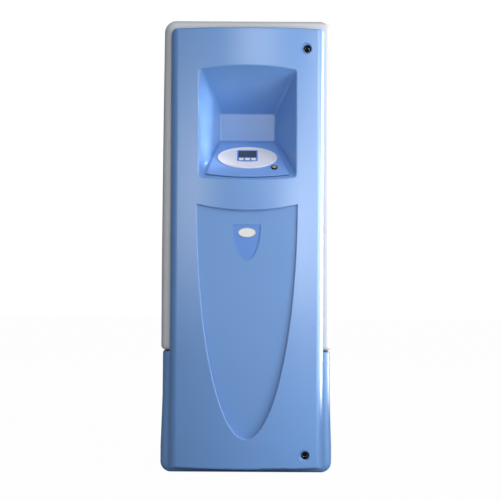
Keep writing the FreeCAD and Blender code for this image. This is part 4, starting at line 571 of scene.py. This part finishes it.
def makeLastFilter():
    mesh = bmesh.new()
    across, depth, low, high, radius, arm = pick(lastFilter, "across depth low high radius armHalf")
    tip = ((8, -24), (8, -18), (12, -16), (12, -10), (9, -8), (10, 0))
    shoulder = ((-8, 6), (0, 16), (0, 30), (-3, 33))
    profile = fromEdge(0, low, *tip) + fromEdge(radius, low, *shoulder)
    profile += fromEdge(radius, high, *mirrored(shoulder)) + fromEdge(0, high, *mirrored(tip))
    addPart(mesh, turned(profile, 0.002, 56), (across, depth, 0))
    count, half, sunk, end = pick(lastFilter, "ribs ribHalf ribSunk ribEnd")
    addRibs(mesh, count, radius - sunk, half, (low + end, high - end), 0.0008, (across, depth, 0))
    middle = (low + high) / 2
    ring = fromEdge(radius, 0, (-2, -10), (3, -10), (3, 10), (-2, 10))
    addPart(mesh, lathe(softened(ring, 0.001), 56), (across, depth, middle), "up", 1)
    start = (across - arm, depth + radius - 0.002, middle - arm)
    addSlab(mesh, start, (across + arm, plateFront, middle + arm), 0.0015, 1)
    makePiece("lastFilter", mesh, "membrane_white clip_grey", "cabinet", "final_filter")


# lamp vessel between two clips on the plate

lampVessel = dict(
    left=-0.21, right=0.11, depth=-0.118, height=1.25, radius=0.036, beadAt=0.018, bead=0.0374,
    capRadius=0.042, capLength=0.028, capRibs=20, capGrip=0.0012, screws=6, screwRing=0.032,
    screw=0.0032, gland=((0.013, 0), (0.013, 0.004), (0.009, 0.005), (0.009, 0.009), (0.006, 0.012)),
)


def makeLampVessel():
    left, right, depth, height = pick(lampVessel, "left right depth height")
    radius, bead, at, reach = pick(lampVessel, "radius bead beadAt capLength")
    length = right - left
    shell = bmesh.new()
    profile = [(radius, 0)]
    for middle in (at, length - at):
        profile += [(radius, middle - 0.004), (bead, middle - 0.001), (bead, middle + 0.001), (radius, middle + 0.004)]
    profile.append((radius, length))
    addPart(shell, turned(profile, 0.001, 72, 2), (left, depth, height), "right")
    for across, outward, away in ((left, -1, "left"), (right, 1, "right")):
        cap = ribbedCap(*pick(lampVessel, "capRadius capLength capRibs capGrip"))
        addPart(shell, cap, (across, depth, height), away, 1)
        end = across + outward * reach
        addPart(shell, turned(lampVessel["gland"], 0.0008, 32), (end, depth, height), away, 1)
        for along, up in around(lampVessel["screws"], lampVessel["screwRing"], 0.3):
            addPart(shell, screw(lampVessel["screw"]), (end, depth + along, height + up), away, 2)
    makePiece("lampVessel", shell, "stainless head_black cam_steel", "cabinet", "uv_chamber")


# tank top: lid, breather and level sensor

tankTop = dict(
    half=0.246, front=-0.046, rear=0.286, low=1.000, high=1.012,
    ribs=(-0.205, -0.085, 0.075, 0.215), ribHalf=0.004, ribEnd=0.014,
    hatch=(0.15, 0.12, 0.048), hatchCap=(0.016, 28, 0.0014),
    breather=(0.0, 0.12), neckRadius=0.014, neck=0.014, breatherRadius=0.038, breatherHeight=0.09,
    breatherRibs=24, breatherRibHalf=0.0012, breatherNut=(0.0168, 0.009, 0.001),
    sensor=(-0.15, 0.18), sensorBottom=0.16, stem=0.008, headRadius=0.022,
    floatRadius=0.02, floatHeight=0.04, sensorGland=(0.009, 0.01, 0.0008),
)


def makeTankLid():
    lid = bmesh.new()
    half, front, rear, low, high = pick(tankTop, "half front rear low high")
    rib, end = pick(tankTop, "ribHalf ribEnd")
    addSlab(lid, (-half, front, low), (half, rear, high), 0.004, 0, 3)
    for across in tankTop["ribs"]:
        addSlab(lid, (across - rib, front + end, high - 0.002), (across + rib, rear - end, high + 0.004), 0.0018)
    across, depth, radius = tankTop["hatch"]
    neck = [(radius + 0.006, 0), (radius + 0.006, 0.003), (radius, 0.005)]
    addPart(lid, turned(neck, 0.001, 64), (across, depth, high))
    addPart(lid, ribbedCap(radius, *tankTop["hatchCap"]), (across, depth, high + 0.004), "up", 1)
    makePiece("tankLid", lid, "tank_white head_black")


def makeBreather():
    mesh = bmesh.new()
    across, depth = tankTop["breather"]
    level, neck, neckRadius, radius = pick(tankTop, "high neck neckRadius breatherRadius")
    top = neck + tankTop["breatherHeight"]
    profile = [(neckRadius, 0), (neckRadius, neck)]
    profile += fromEdge(radius, neck, (-12, 0), (0, 7), (0, 18), (-3, 20))
    profile += fromEdge(radius, top, (-3, -20), (0, -18), (0, -6), (-6, 0))
    profile += fromEdge(0, top, (18, 0), (16, -4))
    addPart(mesh, turned(profile, 0.002, 72), (across, depth, level))
    addPart(mesh, hexagon(*tankTop["breatherNut"]), (across, depth, level + 0.001), "up", 1)
    count, half = pick(tankTop, "breatherRibs breatherRibHalf")
    addRibs(mesh, count, radius - 0.003, half, (neck + 0.02, top - 0.02), 0.0008, (across, depth, level))
    makePiece("breather", mesh, "vent_white head_black", "cabinet", "vent_filter")


def makeLevelSensor():
    mesh = bmesh.new()
    across, depth = tankTop["sensor"]
    low, high, stem, head = pick(tankTop, "sensorBottom high stem headRadius")
    ball, rise = pick(tankTop, "floatRadius floatHeight")
    place = (across, depth, 0)
    addPart(mesh, pin(stem, low, high, 0.001, 32), place, "up", 1)
    profile = fromEdge(head, high, (0, 0), (0, 7), (-3, 9), (-3, 27), (-10, 34))
    addPart(mesh, turned(profile, 0.0018, 48), place)
    profile = [(stem, low), (ball, low), (ball, low + rise), (stem, low + rise)]
    addPart(mesh, lathe(softened(profile, 0.008, 6), 48), place, "up", 2)
    addPart(mesh, hexagon(*tankTop["sensorGland"]), (across - 0.017, depth, high + 0.016), "left", 1)
    makePiece("levelSensor", mesh, "head_black cam_steel vent_white")


# manifold with its valves, regulator and gauge

manifold = dict(
    left=-0.215, right=0.225, front=-0.148, low=1.085, high=1.13, middle=1.1075,
    plugs=(-0.19, -0.14, -0.09, 0.13, 0.2), plug=(0.011, 0.005, 0.0008),
    screws=(-0.201, -0.052, 0.057, 0.213), screw=0.0035, screwInset=0.008,
    endPlug=(0.012, 0.006, 0.0008), endPlugDepth=-0.105,
)


def makeManifold():
    block = bmesh.new()
    low, high, front, middle = pick(manifold, "low high front middle")
    addSlab(block, (manifold["left"], front, low), (manifold["right"], plateFront, high), 0.002)
    for across in manifold["plugs"]:
        addPart(block, hexagon(*manifold["plug"]), (across, front, middle), "front", 1)
    size, across, inset = pick(manifold, "screw screws screwInset")
    addScrews(block, size, across, (low + inset, high - inset), front)
    for away in ("left", "right"):
        place = (manifold[away], manifold["endPlugDepth"], middle)
        addPart(block, hexagon(*manifold["endPlug"]), place, away, 1)
    makePiece("manifoldBlock", block, "manifold_white cam_steel")


valve = dict(
    across=(-0.024, 0.03, 0.084), front=-0.192, half=0.015, pinAt=0.006, pinHalf=0.003,
    strapHalf=0.008, nut=(0.008, 0.0045, 0.0008), edge=0.003,
)


def makeValves():
    mesh = bmesh.new()
    front, half, pinAt, pinHalf, strap = pick(valve, "front half pinAt pinHalf strapHalf")
    rear, height = pick(manifold, "front middle")
    flange = [(half, 0), (half, 0.005), (0.01, 0.007), (0.01, 0.012)]
    for across in valve["across"]:
        addPart(mesh, turned(flange, 0.0008, 40), (across, rear, height), "front", 2)
        low = (across - half, front + 0.007, height - half)
        addSlab(mesh, low, (across + half, rear - 0.0075, height + half), valve["edge"], 0, 3)
        for side in (-1, 1):
            edge = across + side * half
            low = (edge - 0.001, front + 0.009, height - strap)
            addSlab(mesh, low, (edge + 0.001, rear - 0.01, height + strap), 0.0005, 1)
            middle = across + side * pinAt
            low = (middle - pinHalf, front + 0.016, height + half - 0.001)
            addSlab(mesh, low, (middle + pinHalf, front + 0.0168, height + half + 0.007), 0.0002, 1)
        addPart(mesh, hexagon(*valve["nut"]), (across, front + 0.0075, height), "front", 1)
        addPart(mesh, pin(0.004, 0, 0.003, 0.0008), (across, front + 0.003, height), "front", 1)
    makePiece("solenoidValves", mesh, "valve_black cam_steel pump_brass")


regulator = dict(
    across=0.19, depth=-0.11, low=0.98, height=0.06, radius=0.024, stemRadius=0.007,
    stemRise=0.017, footHalf=0.012, nut=(0.014, 0.006, 0.001), knobRadius=0.021, knobLow=1.0403,
    knobHeight=0.034, knobBore=0.0172, knobPlay=0.0001, gripDepth=0.0014, gripStep=6, markHalf=0.0012,
)


def makeRegulator():
    across, depth, low = pick(regulator, "across depth low")
    radius, stem, top, foot = pick(regulator, "radius stemRadius height footHalf")
    body = bmesh.new()
    profile = fromEdge(radius, 0, (-8, 0), (-6, 4), (0, 8), (0, 34))
    profile += fromEdge(radius, 0, (-3, 36), (-3, 39), (0, 41), (0, 50))
    profile += [(radius - 0.006, top), (stem, top), (stem, top + regulator["stemRise"])]
    addPart(body, turned(profile, 0.0012, 56), (across, depth, low))
    addSlab(body, (across - foot, depth, low + 0.002), (across + foot, plateFront, low + top - 0.002), 0.0015)
    addPart(body, hexagon(*regulator["nut"]), (across, depth, low - 0.006))
    makePiece("regulatorBody", body, "stainless")


def makeRegulatorKnob():
    across, depth, low, half = pick(regulator, "across depth knobLow markHalf")
    wide, tall, start = pick(regulator, "knobRadius knobHeight knobBore")
    bore = regulator["stemRadius"] + regulator["knobPlay"]
    profile = [(bore, start), (bore, 0), (wide - 0.001, 0), (wide, 0.002)]
    profile += fromEdge(wide, tall, (0, -8), (-2, -2), (-5, 0))
    grip = lathe(capped(profile), 72)
    upright = [face for face in grip.faces if abs(face.normal.z) < 0.05]
    outer = [face for face in upright if face.calc_center_median().to_2d().length > wide - 0.002]
    outer.sort(key=bearing)
    chosen = [face for n, face in enumerate(outer) if n % regulator["gripStep"] < 2]
    bmesh.ops.inset_individual(grip, faces=chosen, thickness=0.0003, depth=-regulator["gripDepth"])
    knob = bmesh.new()
    addPart(knob, grip, (across, depth, low))
    mark = slab((-half, -wide + 0.006, -0.001), (half, -0.003, 0.0004), 0.0003)
    addPart(knob, mark, (across, depth, low + tall), "up", 1)
    makePiece("regulatorKnob", knob, "knob_blue badge_white", "knob")


gauge = dict(
    across=0.19, rear=-0.146, height=1.01, radius=0.026, thick=0.022, dial=0.0024, dialThick=0.0005,
    ticks=11, firstTick=135, tickStep=27, tickHalf=0.0004, needleHalf=0.0006, needleTurn=48,
    stem=0.006, nut=(0.0085, 0.007, 0.0006),
)


def makeGauge():
    mesh = bmesh.new()
    across, depth, height, radius, thick, dial = pick(gauge, "across rear height radius thick dial")
    place = (across, depth, height)
    profile = [(radius - 0.003, 0), (radius, 0.003)]
    profile += fromEdge(radius, thick, (0, -3), (-1.5, 0), (-3, 0), (-3, -3))
    addPart(mesh, turned(profile, 0.0006, 64, 2), place, "front")
    inner, level = radius - 0.0032, thick - dial
    plate = [(inner, level - gauge["dialThick"]), (inner, level)]
    addPart(mesh, lathe(capped(plate), 64), place, "front", 1)
    marks = []
    half = gauge["tickHalf"]
    for n in range(gauge["ticks"]):
        tick = slab((-half, radius - 0.009, -0.0001), (half, radius - 0.005, 0.0002))
        marks.append((tick, gauge["firstTick"] - gauge["tickStep"] * n))
    half = gauge["needleHalf"]
    marks.append((slab((-half, -0.004, 0.0004), (half, radius - 0.008, 0.0009), 0.0002), gauge["needleTurn"]))
    for mark, angle in marks:
        matrix = Matrix.Translation((0, 0, thick - dial)) @ spun(angle, "Z")
        bmesh.ops.transform(mark, matrix=matrix, verts=mark.verts)
        addPart(mesh, mark, place, "front")
    addPart(mesh, pin(0.0026, 0, 0.0016, 0.0006), (across, depth - thick + dial, height), "front")
    addPart(mesh, pin(gauge["stem"], -0.012, 0, 0.0005), place, "front", 2)
    addPart(mesh, hexagon(*gauge["nut"]), (across, depth + 0.009, height), "front", 2)
    makePiece("pressureGauge", mesh, "gauge_black badge_white pump_brass")


# electronics cover with louvres, screws and a bare label

electronics = dict(
    half=0.23, front=-0.15, rear=-0.146, low=1.4, high=1.64, screw=0.004, screwInset=0.012,
    louvreHalf=0.05, louvreAt=0.13, louvreStart=0.06, louvres=9, pitch=0.012,
    labelHalf=0.05, labelLow=0.07, labelHigh=0.03,
)


def makeElectronicsCover():
    mesh = bmesh.new()
    half, front, low, high, inset = pick(electronics, "half front low high screwInset")
    addSlab(mesh, (-half, front, low), (half, electronics["rear"], high), 0.0014)
    levels = (low + inset, high - inset)
    addScrews(mesh, electronics["screw"], (inset - half, 0, half - inset), levels, front)
    wide, at, start, pitch = pick(electronics, "louvreHalf louvreAt louvreStart pitch")
    for middle in (-at, at):
        for n in range(electronics["louvres"]):
            level = low + start + pitch * n
            left, right = middle - wide, middle + wide
            addSlab(mesh, (left, front - 0.0035, level), (right, front + 0.001, level + 0.0055), 0.0016)
            # Below each louvre a thin black strip is painted shade, standing in for the dark slot behind it.
            shade = (left + 0.003, front - 0.0004, level - 0.0026)
            addSlab(mesh, shade, (right - 0.003, front + 0.001, level + 0.0005), 0.0003, 2)
    label, bottom, top = pick(electronics, "labelHalf labelLow labelHigh")
    addSlab(mesh, (-label, front - 0.0006, high - bottom), (label, front + 0.001, high - top), 0.0004, 3)
    makePiece("electronicsCover", mesh, "box_grey cam_steel valve_black badge_white")


# feet and rear fittings

foot = dict(
    across=0.235, depths=(-0.215, 0.265), pad=0.03, padThick=0.004, disc=0.012, stud=0.006,
    nut=0.042, nutRadius=0.0122, top=0.05, pitch=0.0018, thread=0.0008,
)


def threaded(radius, low, high, pitch, depth):
    # Rings in place of a helix: one crest for each turn.
    profile = []
    count = int((high - low) / pitch)
    for n in range(count):
        start = low + pitch * n
        profile += [(radius - depth, start), (radius, start + pitch * 0.45), (radius, start + pitch * 0.55)]
    return profile + [(radius - depth, low + pitch * count), (radius - depth, high)]


def makeFeet():
    studs, pads = bmesh.new(), bmesh.new()
    pad, thick, disc, stud, nut, top = pick(foot, "pad padThick disc stud nut top")
    profile = fromEdge(pad, thick, (-1, 0), (0, 1), (0, 2.5)) + [(0.013, disc - 0.001), (0.009, disc)]
    profile += threaded(stud, disc + 0.001, nut, foot["pitch"], foot["thread"]) + [(stud, top)]
    rest = [(pad - 0.002, 0), (pad, 0.0015), (pad, thick)]
    for across in (-foot["across"], foot["across"]):
        for depth in foot["depths"]:
            addPart(studs, lathe(capped(profile), 40), (across, depth, 0))
            addPart(studs, hexagon(foot["nutRadius"], top - nut, 0.0008), (across, depth, nut))
            addPart(pads, turned(rest, 0.0006, 48), (across, depth, 0))
    makePiece("levellingFeet", studs, "steel_zinc")
    makePiece("footPads", pads, "rubber_black")


port = dict(
    height=0.56, start=0.325, wall=0.016, panel=0.02, end=0.055, tail=0.01, flange=0.02,
    flangeAt=0.012, bore=0.007, pitch=0.001814, thread=0.00116, relief=0.0012, lead=0.0022,
    places=(("feed", -0.2, 0.0132), ("drain", -0.08, 0.0105), ("return", 0.08, 0.0132), ("product", 0.2, 0.0132)),
)


def makePorts():
    wall, panel, end, tail, flange = pick(port, "wall panel end tail flange")
    at, bore, pitch, thread = pick(port, "flangeAt bore pitch thread")
    for name, across, radius in port["places"]:
        neck = radius - port["relief"]
        profile = [(tail - 0.001, 0), (tail, 0.002), (tail, at), (flange, at), (flange, wall), (neck, wall), (neck, panel)]
        profile += threaded(radius, panel, end - 0.001, pitch, thread)
        profile += [(radius - port["lead"], end), (bore + 0.0008, end), (bore, end - 0.001), (bore, wall)]
        mesh = bmesh.new()
        addPart(mesh, lathe(capped(profile), 56), (across, port["start"], port["height"]), "rear")
        makePiece(name + "Port", mesh, "port_white")


inlet = dict(
    across=0.15, face=0.353, floor=0.333, socket=1.428, pins=((-0.007, -0.003), (0, 0.003), (0.007, -0.003)),
    pinSize=(0.001, 0.002), pinShort=0.005, screws=1.45, screwAt=0.021, screw=0.0032,
    rocker=1.472, pivot=0.348, tilt=-9, marksAt=0.0075, markFace=(0.005, 0.0052),
)
turns["rocker"] = spun(inlet["tilt"], "X")


def makeInletDetails():
    mesh = bmesh.new()
    centre, face, wide, tall = inlet["across"], inlet["face"], *inlet["pinSize"]
    for across, level in inlet["pins"]:
        x, z = centre + across, inlet["socket"] + level
        low = (x - wide, inlet["floor"] - 0.001, z - tall)
        addSlab(mesh, low, (x + wide, face - inlet["pinShort"], z + tall), 0.0004)
    for side in (-1, 1):
        addPart(mesh, screw(inlet["screw"]), (centre + side * inlet["screwAt"], face, inlet["screws"]), "rear")
    makePiece("inletPins", mesh, "cam_steel")
    marks = bmesh.new()
    under, over = inlet["markFace"]
    line = slab((-0.0003, under, -0.0024), (0.0003, over, 0.0024))
    circle = lathe([(0.0018, under), (0.0024, under), (0.0024, over), (0.0018, over), (0.0018, under)], 24)
    bmesh.ops.transform(circle, matrix=turns["rear"], verts=circle.verts)
    for shape, along in ((line, inlet["marksAt"]), (circle, -inlet["marksAt"])):
        bmesh.ops.translate(shape, vec=(0, 0, along), verts=shape.verts)
        addPart(marks, shape, (centre, inlet["pivot"], inlet["rocker"]), "rocker")
    makePiece("rockerMarks", marks, "badge_white", "rocker")


rearDetail = dict(
    plane=0.345, screw=0.005, side=0.302, levels=(0.5, 0.78, 1.06, 1.34, 1.62),
    across=(-0.15, 0.0, 0.15), top=1.694, bottom=0.488,
    louvres=10, pitch=0.014, louvreLow=1.18, louvreEnds=(-0.22, -0.04),
    label=((-0.2, 1.42), (-0.08, 1.49)),
)


def makeRearDetails():
    mesh = bmesh.new()
    plane, size, side, levels = pick(rearDetail, "plane screw side levels")
    addScrews(mesh, size, (-side, side), levels, plane, "rear")
    addScrews(mesh, size, rearDetail["across"], pick(rearDetail, "top bottom"), plane, "rear")
    left, right = rearDetail["louvreEnds"]
    behind = plane - 0.001
    for n in range(rearDetail["louvres"]):
        level = rearDetail["louvreLow"] + rearDetail["pitch"] * n
        addSlab(mesh, (left, behind, level), (right, plane + 0.004, level + 0.007), 0.0022)
        # Below each louvre a thin black strip is painted shade, standing in for the dark slot behind it.
        addSlab(mesh, (left + 0.004, behind, level - 0.003), (right - 0.004, plane + 0.0005, level + 0.001), 0.0003, 2)
    (left, low), (right, high) = rearDetail["label"]
    addSlab(mesh, (left, behind, low), (right, plane + 0.0008, high), 0.0005, 3)
    makePiece("rearDetails", mesh, "panel_grey cam_steel valve_black badge_white")


# locks: a dark sleeve in each recess, which paints the shade inside it, and a barrel with its cam

lock = dict(
    across=0.222, heights=dict(upper=1.604, lower=0.082), seat=-0.32174, rear=-0.298,
    sleeve=0.0153, sleeveReach=0.017, floor=0.0003, hole=0.0112, barrel=0.008, face=0.011,
    camHalf=0.009, camThick=0.004, camReach=0.032, nut=(0.0095, 0.004, 0.0006),
)


def addLockShadeSleeve(sleeves, height):
    # The black sleeve and its floor ring are painted shade: they darken the recess where only shade falls.
    outer, reach, floor, hole = pick(lock, "sleeve sleeveReach floor hole")
    place = (lock["across"], lock["seat"], height)
    inner = outer - 0.0012
    ring = [(outer, floor), (outer, reach), (outer - 0.001, reach), (inner, floor), (outer, floor)]
    addPart(sleeves, lathe(ring, 48), place, "front")
    top = floor + 0.0005
    addPart(sleeves, lathe([(hole, floor), (inner, floor), (inner, top), (hole, top), (hole, floor)], 48), place, "front")


def makeLockBarrel(prefix, height):
    across, seat, rear, radius, face = pick(lock, "across seat rear barrel face")
    half, thick = pick(lock, "camHalf camThick")
    reach = rear - seat
    barrel = bmesh.new()
    profile = [(radius, 0), (radius, reach), (face, reach), (face, reach + 0.002)]
    profile += fromEdge(0, reach, (9.8, 3), (6.8, 3), (6.2, 1.8), (4.5, 1.8), (4.2, 2.6))
    addPart(barrel, lathe(capped(profile), 48), (across, rear, height), "front")
    ring = [(0.0088, 0.0029), (0.0103, 0.0029), (0.0103, 0.0036), (0.0096, 0.004), (0.0088, 0.0036), (0.0088, 0.0029)]
    addPart(barrel, lathe(softened(ring, 0.0002, 2), 48), (across, seat, height), "front", 1)
    end = (across + half, rear + thick, height + lock["camReach"])
    addSlab(barrel, (across - half, rear, height - half), end, 0.0015, 2, 3)
    addPart(barrel, hexagon(*lock["nut"]), (across, rear + thick, height), "rear", 2)
    makePiece(prefix + "LockBarrel", barrel, "switch_black lock_metal cam_steel", prefix + "_lock")


def makeLocks():
    sleeves = bmesh.new()
    for prefix, height in lock["heights"].items():
        addLockShadeSleeve(sleeves, height)
        makeLockBarrel(prefix, height)
    makePiece("lockSleeves", sleeves, "switch_black", "door")


# console details, placed in the console's own tilted frame

console = dict(
    near=-0.372, floor=1.115842, angle=41, frontHalf=0.156, setback=0.008, sagitta=0.0165,
    cord=0.0017, shadeCordOut=0.0008, switchAt=(0.1015, 0.06), ring=0.012, ringTop=0.0115, neck=0.0095,
    under=-0.0215, barrel=0.0075, barrelTop=0.0118, play=0.0001, slotHalf=(0.0009, 0.0048), slotTurn=45,
)
turns["console"] = spun(console["angle"], "X")


def onConsole(across, along, out):
    angle = math.radians(console["angle"])
    depth = console["near"] + along * math.cos(angle) - out * math.sin(angle)
    return (across, depth, console["floor"] + along * math.sin(angle) + out * math.cos(angle))


def makeConsoleShadeCord():
    # A thin dark cord along the console's curved front edge is painted shadow: it stands in for the shade in the gap
    # under that edge.
    half, sagitta, thick = pick(console, "frontHalf sagitta cord")
    radius = (half * half + sagitta * sagitta) / (2 * sagitta)
    swing = 2 * math.asin(half / radius)
    mesh = bmesh.new()
    bmesh.ops.create_circle(mesh, cap_ends=True, segments=10, radius=thick)
    pivot = Matrix.Translation((0, radius, 0)) @ Matrix.Rotation(-swing / 2, 4, "Z")
    offset = Matrix.Translation((0, -radius - console["shadeCordOut"], thick * 0.4)) @ Matrix.Rotation(math.pi / 2, 4, "Y")
    bmesh.ops.transform(mesh, matrix=pivot @ offset, verts=mesh.verts)
    outline = mesh.faces[:] + mesh.edges[:] + mesh.verts[:]
    bmesh.ops.spin(mesh, geom=outline, cent=(0, radius, 0), axis=(0, 0, 1), angle=swing, steps=40)
    bmesh.ops.recalc_face_normals(mesh, faces=mesh.faces)
    cord = bmesh.new()
    addPart(cord, mesh, onConsole(0, console["setback"], 0), "console")
    makePiece("consoleCord", cord, "seal_navy", "door")


def makeKeySwitch():
    outer, top, neck, under, barrel = pick(console, "ring ringTop neck under barrel")
    bore = barrel + console["play"]
    place = onConsole(*console["switchAt"], 0)
    ring = bmesh.new()
    profile = [(bore, under), (neck, under), (neck, 0.006), (outer, 0.006), (outer, top - 0.0012)]
    profile += [(outer - 0.0012, top), (bore + 0.001, top), (bore, top - 0.0008), (bore, under)]
    addPart(ring, lathe(profile, 56), place, "console")
    makePiece("keySwitchRing", ring, "switch_black", "door", "key_switch_bezel")
    plug = bmesh.new()
    top = console["barrelTop"]
    addPart(plug, pin(barrel, under + 0.0003, top, 0.0008, 56), place, "console")
    # The key slot is a black strip on the barrel's top: painted shade in place of a cut keyway.
    wide, tall = console["slotHalf"]
    slot = slab((-wide, -tall, top - 0.0005), (wide, tall, top + 0.0001))
    bmesh.ops.transform(slot, matrix=spun(console["slotTurn"], "Z"), verts=slot.verts)
    addPart(plug, slot, place, "console", 1)
    makePiece("keySwitchBarrel", plug, "switch_brass switch_black", "console_lock")


badge = dict(height=0.9155, rear=-0.353, half=0.034, rise=0.018, rim=0.0032, thick=0.002)


def makeBadgePlate():
    mesh = bmesh.new()
    half, thick = pick(badge, "half thick")
    inner = half - badge["rim"]
    face = thick * 0.75
    centre = lathe(capped([(inner, 0), (inner, face)]), 72)
    outline = [(inner, 0), (half, 0), (half, thick * 0.7), (half - 0.001, thick), (inner + 0.0004, thick)]
    rim = lathe(softened([*outline, (inner, face), (inner, 0)], 0.0003, 2), 72)
    for material, part in enumerate((centre, rim)):
        bmesh.ops.scale(part, vec=(1, badge["rise"] / half, 1), verts=part.verts)
        addPart(mesh, part, (0, badge["rear"], badge["height"]), "front", material)
    makePiece("badgePlate", mesh, "badge_white frame_grey", "door")


stages = {
    "vessels and pumps": (makePumps, makeMembranes, makePacks, makePrefilter, makeLastFilter, makeLampVessel),
    "tank top and manifold": (makeTankLid, makeBreather, makeLevelSensor, makeManifold, makeValves),
    "regulator, gauge and electronics": (makeRegulator, makeRegulatorKnob, makeGauge, makeElectronicsCover),
    "feet and rear fittings": (makeFeet, makePorts, makeInletDetails, makeRearDetails),
    "door details": (makeLocks, makeConsoleShadeCord, makeKeySwitch, makeBadgePlate),
}
for stage, makers in stages.items():
    for maker in makers:
        maker()
    print(stage, "made")


# studio: white room, soft lights, and two narrow ones for the door's right edge and the niche's left wall

studio = dict(
    focal=77.54, sensor=36.0, cameraAt=(0.0117, -4.38, 0.8502), roll=0.33, middle=(0.0, -0.3, 0.85),
    room=0.12, floorHalf=9.0, floorColour=(0.32, 0.32, 0.33), floorRough=0.9, floorGlow=0.985,
)


# lights: power, size and place, and for the two narrow ones tint, aim and spread in degrees

lights = {
    "keyHigh": (11.5, (0.9, 0.8), (1.78, -1.96, 1.8)),
    "keyMiddle": (20.0, (0.9, 0.8), (2.3, -1.57, 1.1)),
    "keyLow": (10.0, (0.9, 0.8), (2.3, -1.57, 0.5)),
    "rimRight": (1.4, (0.1, 1.45), (1.95, 0.1, 1.02), (1.0, 0.91, 0.84), (0.31, -0.36, 1.02), 8),
    "nicheSide": (0.12, (0.06, 0.28), (0.95, -0.93, 1.53), (1.0, 0.82, 0.72), (-0.17, -0.3, 1.3), 5),
    "frontHigh": (19.5, (1.4, 0.8), (0.3, -4.2, 2.4)),
    "frontLow": (2.5, (1.4, 0.5), (0.2, -4.3, 0.3)),
    "frontRight": (16.0, (0.9, 0.9), (1.4, -3.0, 1.0)),
    "frontLeft": (5.0, (0.9, 0.9), (-1.3, -2.6, 1.1)),
    "frontLeftFar": (9.5, (1.2, 1.2), (-1.8, -3.8, 1.5)),
    "overhead": (14.0, (1.8, 1.4), (0.4, -1.4, 3.6)),
    "backLeft": (26.0, (1.4, 1.4), (-0.4, 3.6, 1.9)),
    "backRight": (26.0, (1.4, 1.4), (1.1, 3.6, 1.3)),
}


def areaLight(name, power, size, place, tint=(1, 1, 1), aim=studio["middle"], spread=180):
    data = bpy.data.lights.new(name, "AREA")
    data.shape = "RECTANGLE"
    data.size, data.size_y = size
    data.energy = power
    data.spread = math.radians(spread)
    data.color = tint
    lamp = linked(name, data)
    lamp.location = place
    lamp.rotation_euler = (Vector(aim) - Vector(place)).to_track_quat("-Z", "Y").to_euler()


def makeStudio():
    # The room lights the part weakly, but the camera sees it pure white.
    scene = bpy.context.scene
    scene.view_settings.view_transform = "Standard"
    for name, light in lights.items():
        areaLight(name, *light)
    scene.world = bpy.data.worlds.new("room")
    scene.world.use_nodes = True
    tree = scene.world.node_tree
    seen = addNode(tree, "LightPath").outputs["Is Camera Ray"]
    blend = addNode(tree, "MapRange", Value=seen, **{"To Min": studio["room"], "To Max": 1.0})
    setInputs(tree.nodes["Background"], {"Color": (1, 1, 1, 1), "Strength": blend.outputs["Result"]})


def floorPaint(tree, look):
    return {"Base Color": (*look["floorColour"], 1), "Roughness": look["floorRough"]}


def makeFloor():
    # The floor is a plain grey to the light, and nearly all glow to the camera.
    mesh = bmesh.new()
    bmesh.ops.create_grid(mesh, x_segments=1, y_segments=1, size=studio["floorHalf"])
    floor = linked("floor", meshFrom("floor", mesh))
    material = makeMaterial("paleFloor", floorPaint, studio)
    tree = material.node_tree
    share = addNode(tree, "Math")
    share.operation = "MULTIPLY"
    setInputs(share, {0: addNode(tree, "LightPath").outputs["Is Camera Ray"], 1: studio["floorGlow"]})
    mix = addNode(tree, "MixShader")
    paint, glow = tree.nodes["Principled BSDF"], addNode(tree, "Emission")
    setInputs(mix, {0: share.outputs[0], 1: paint.outputs[0], 2: glow.outputs[0]})
    setInputs(tree.nodes["Material Output"], {"Surface": mix.outputs[0]})
    floor.data.materials.append(material)


def makeCamera():
    data = bpy.data.cameras.new("camera")
    data.lens = studio["focal"]
    data.sensor_width = studio["sensor"]
    data.sensor_fit = "HORIZONTAL"
    camera = linked("camera", data)
    camera.location = studio["cameraAt"]
    camera.rotation_euler = (spun(90, "X") @ spun(studio["roll"], "Z")).to_euler()
    bpy.context.scene.camera = camera


makeStudio()
makeFloor()
makeCamera()
print("studio ready")
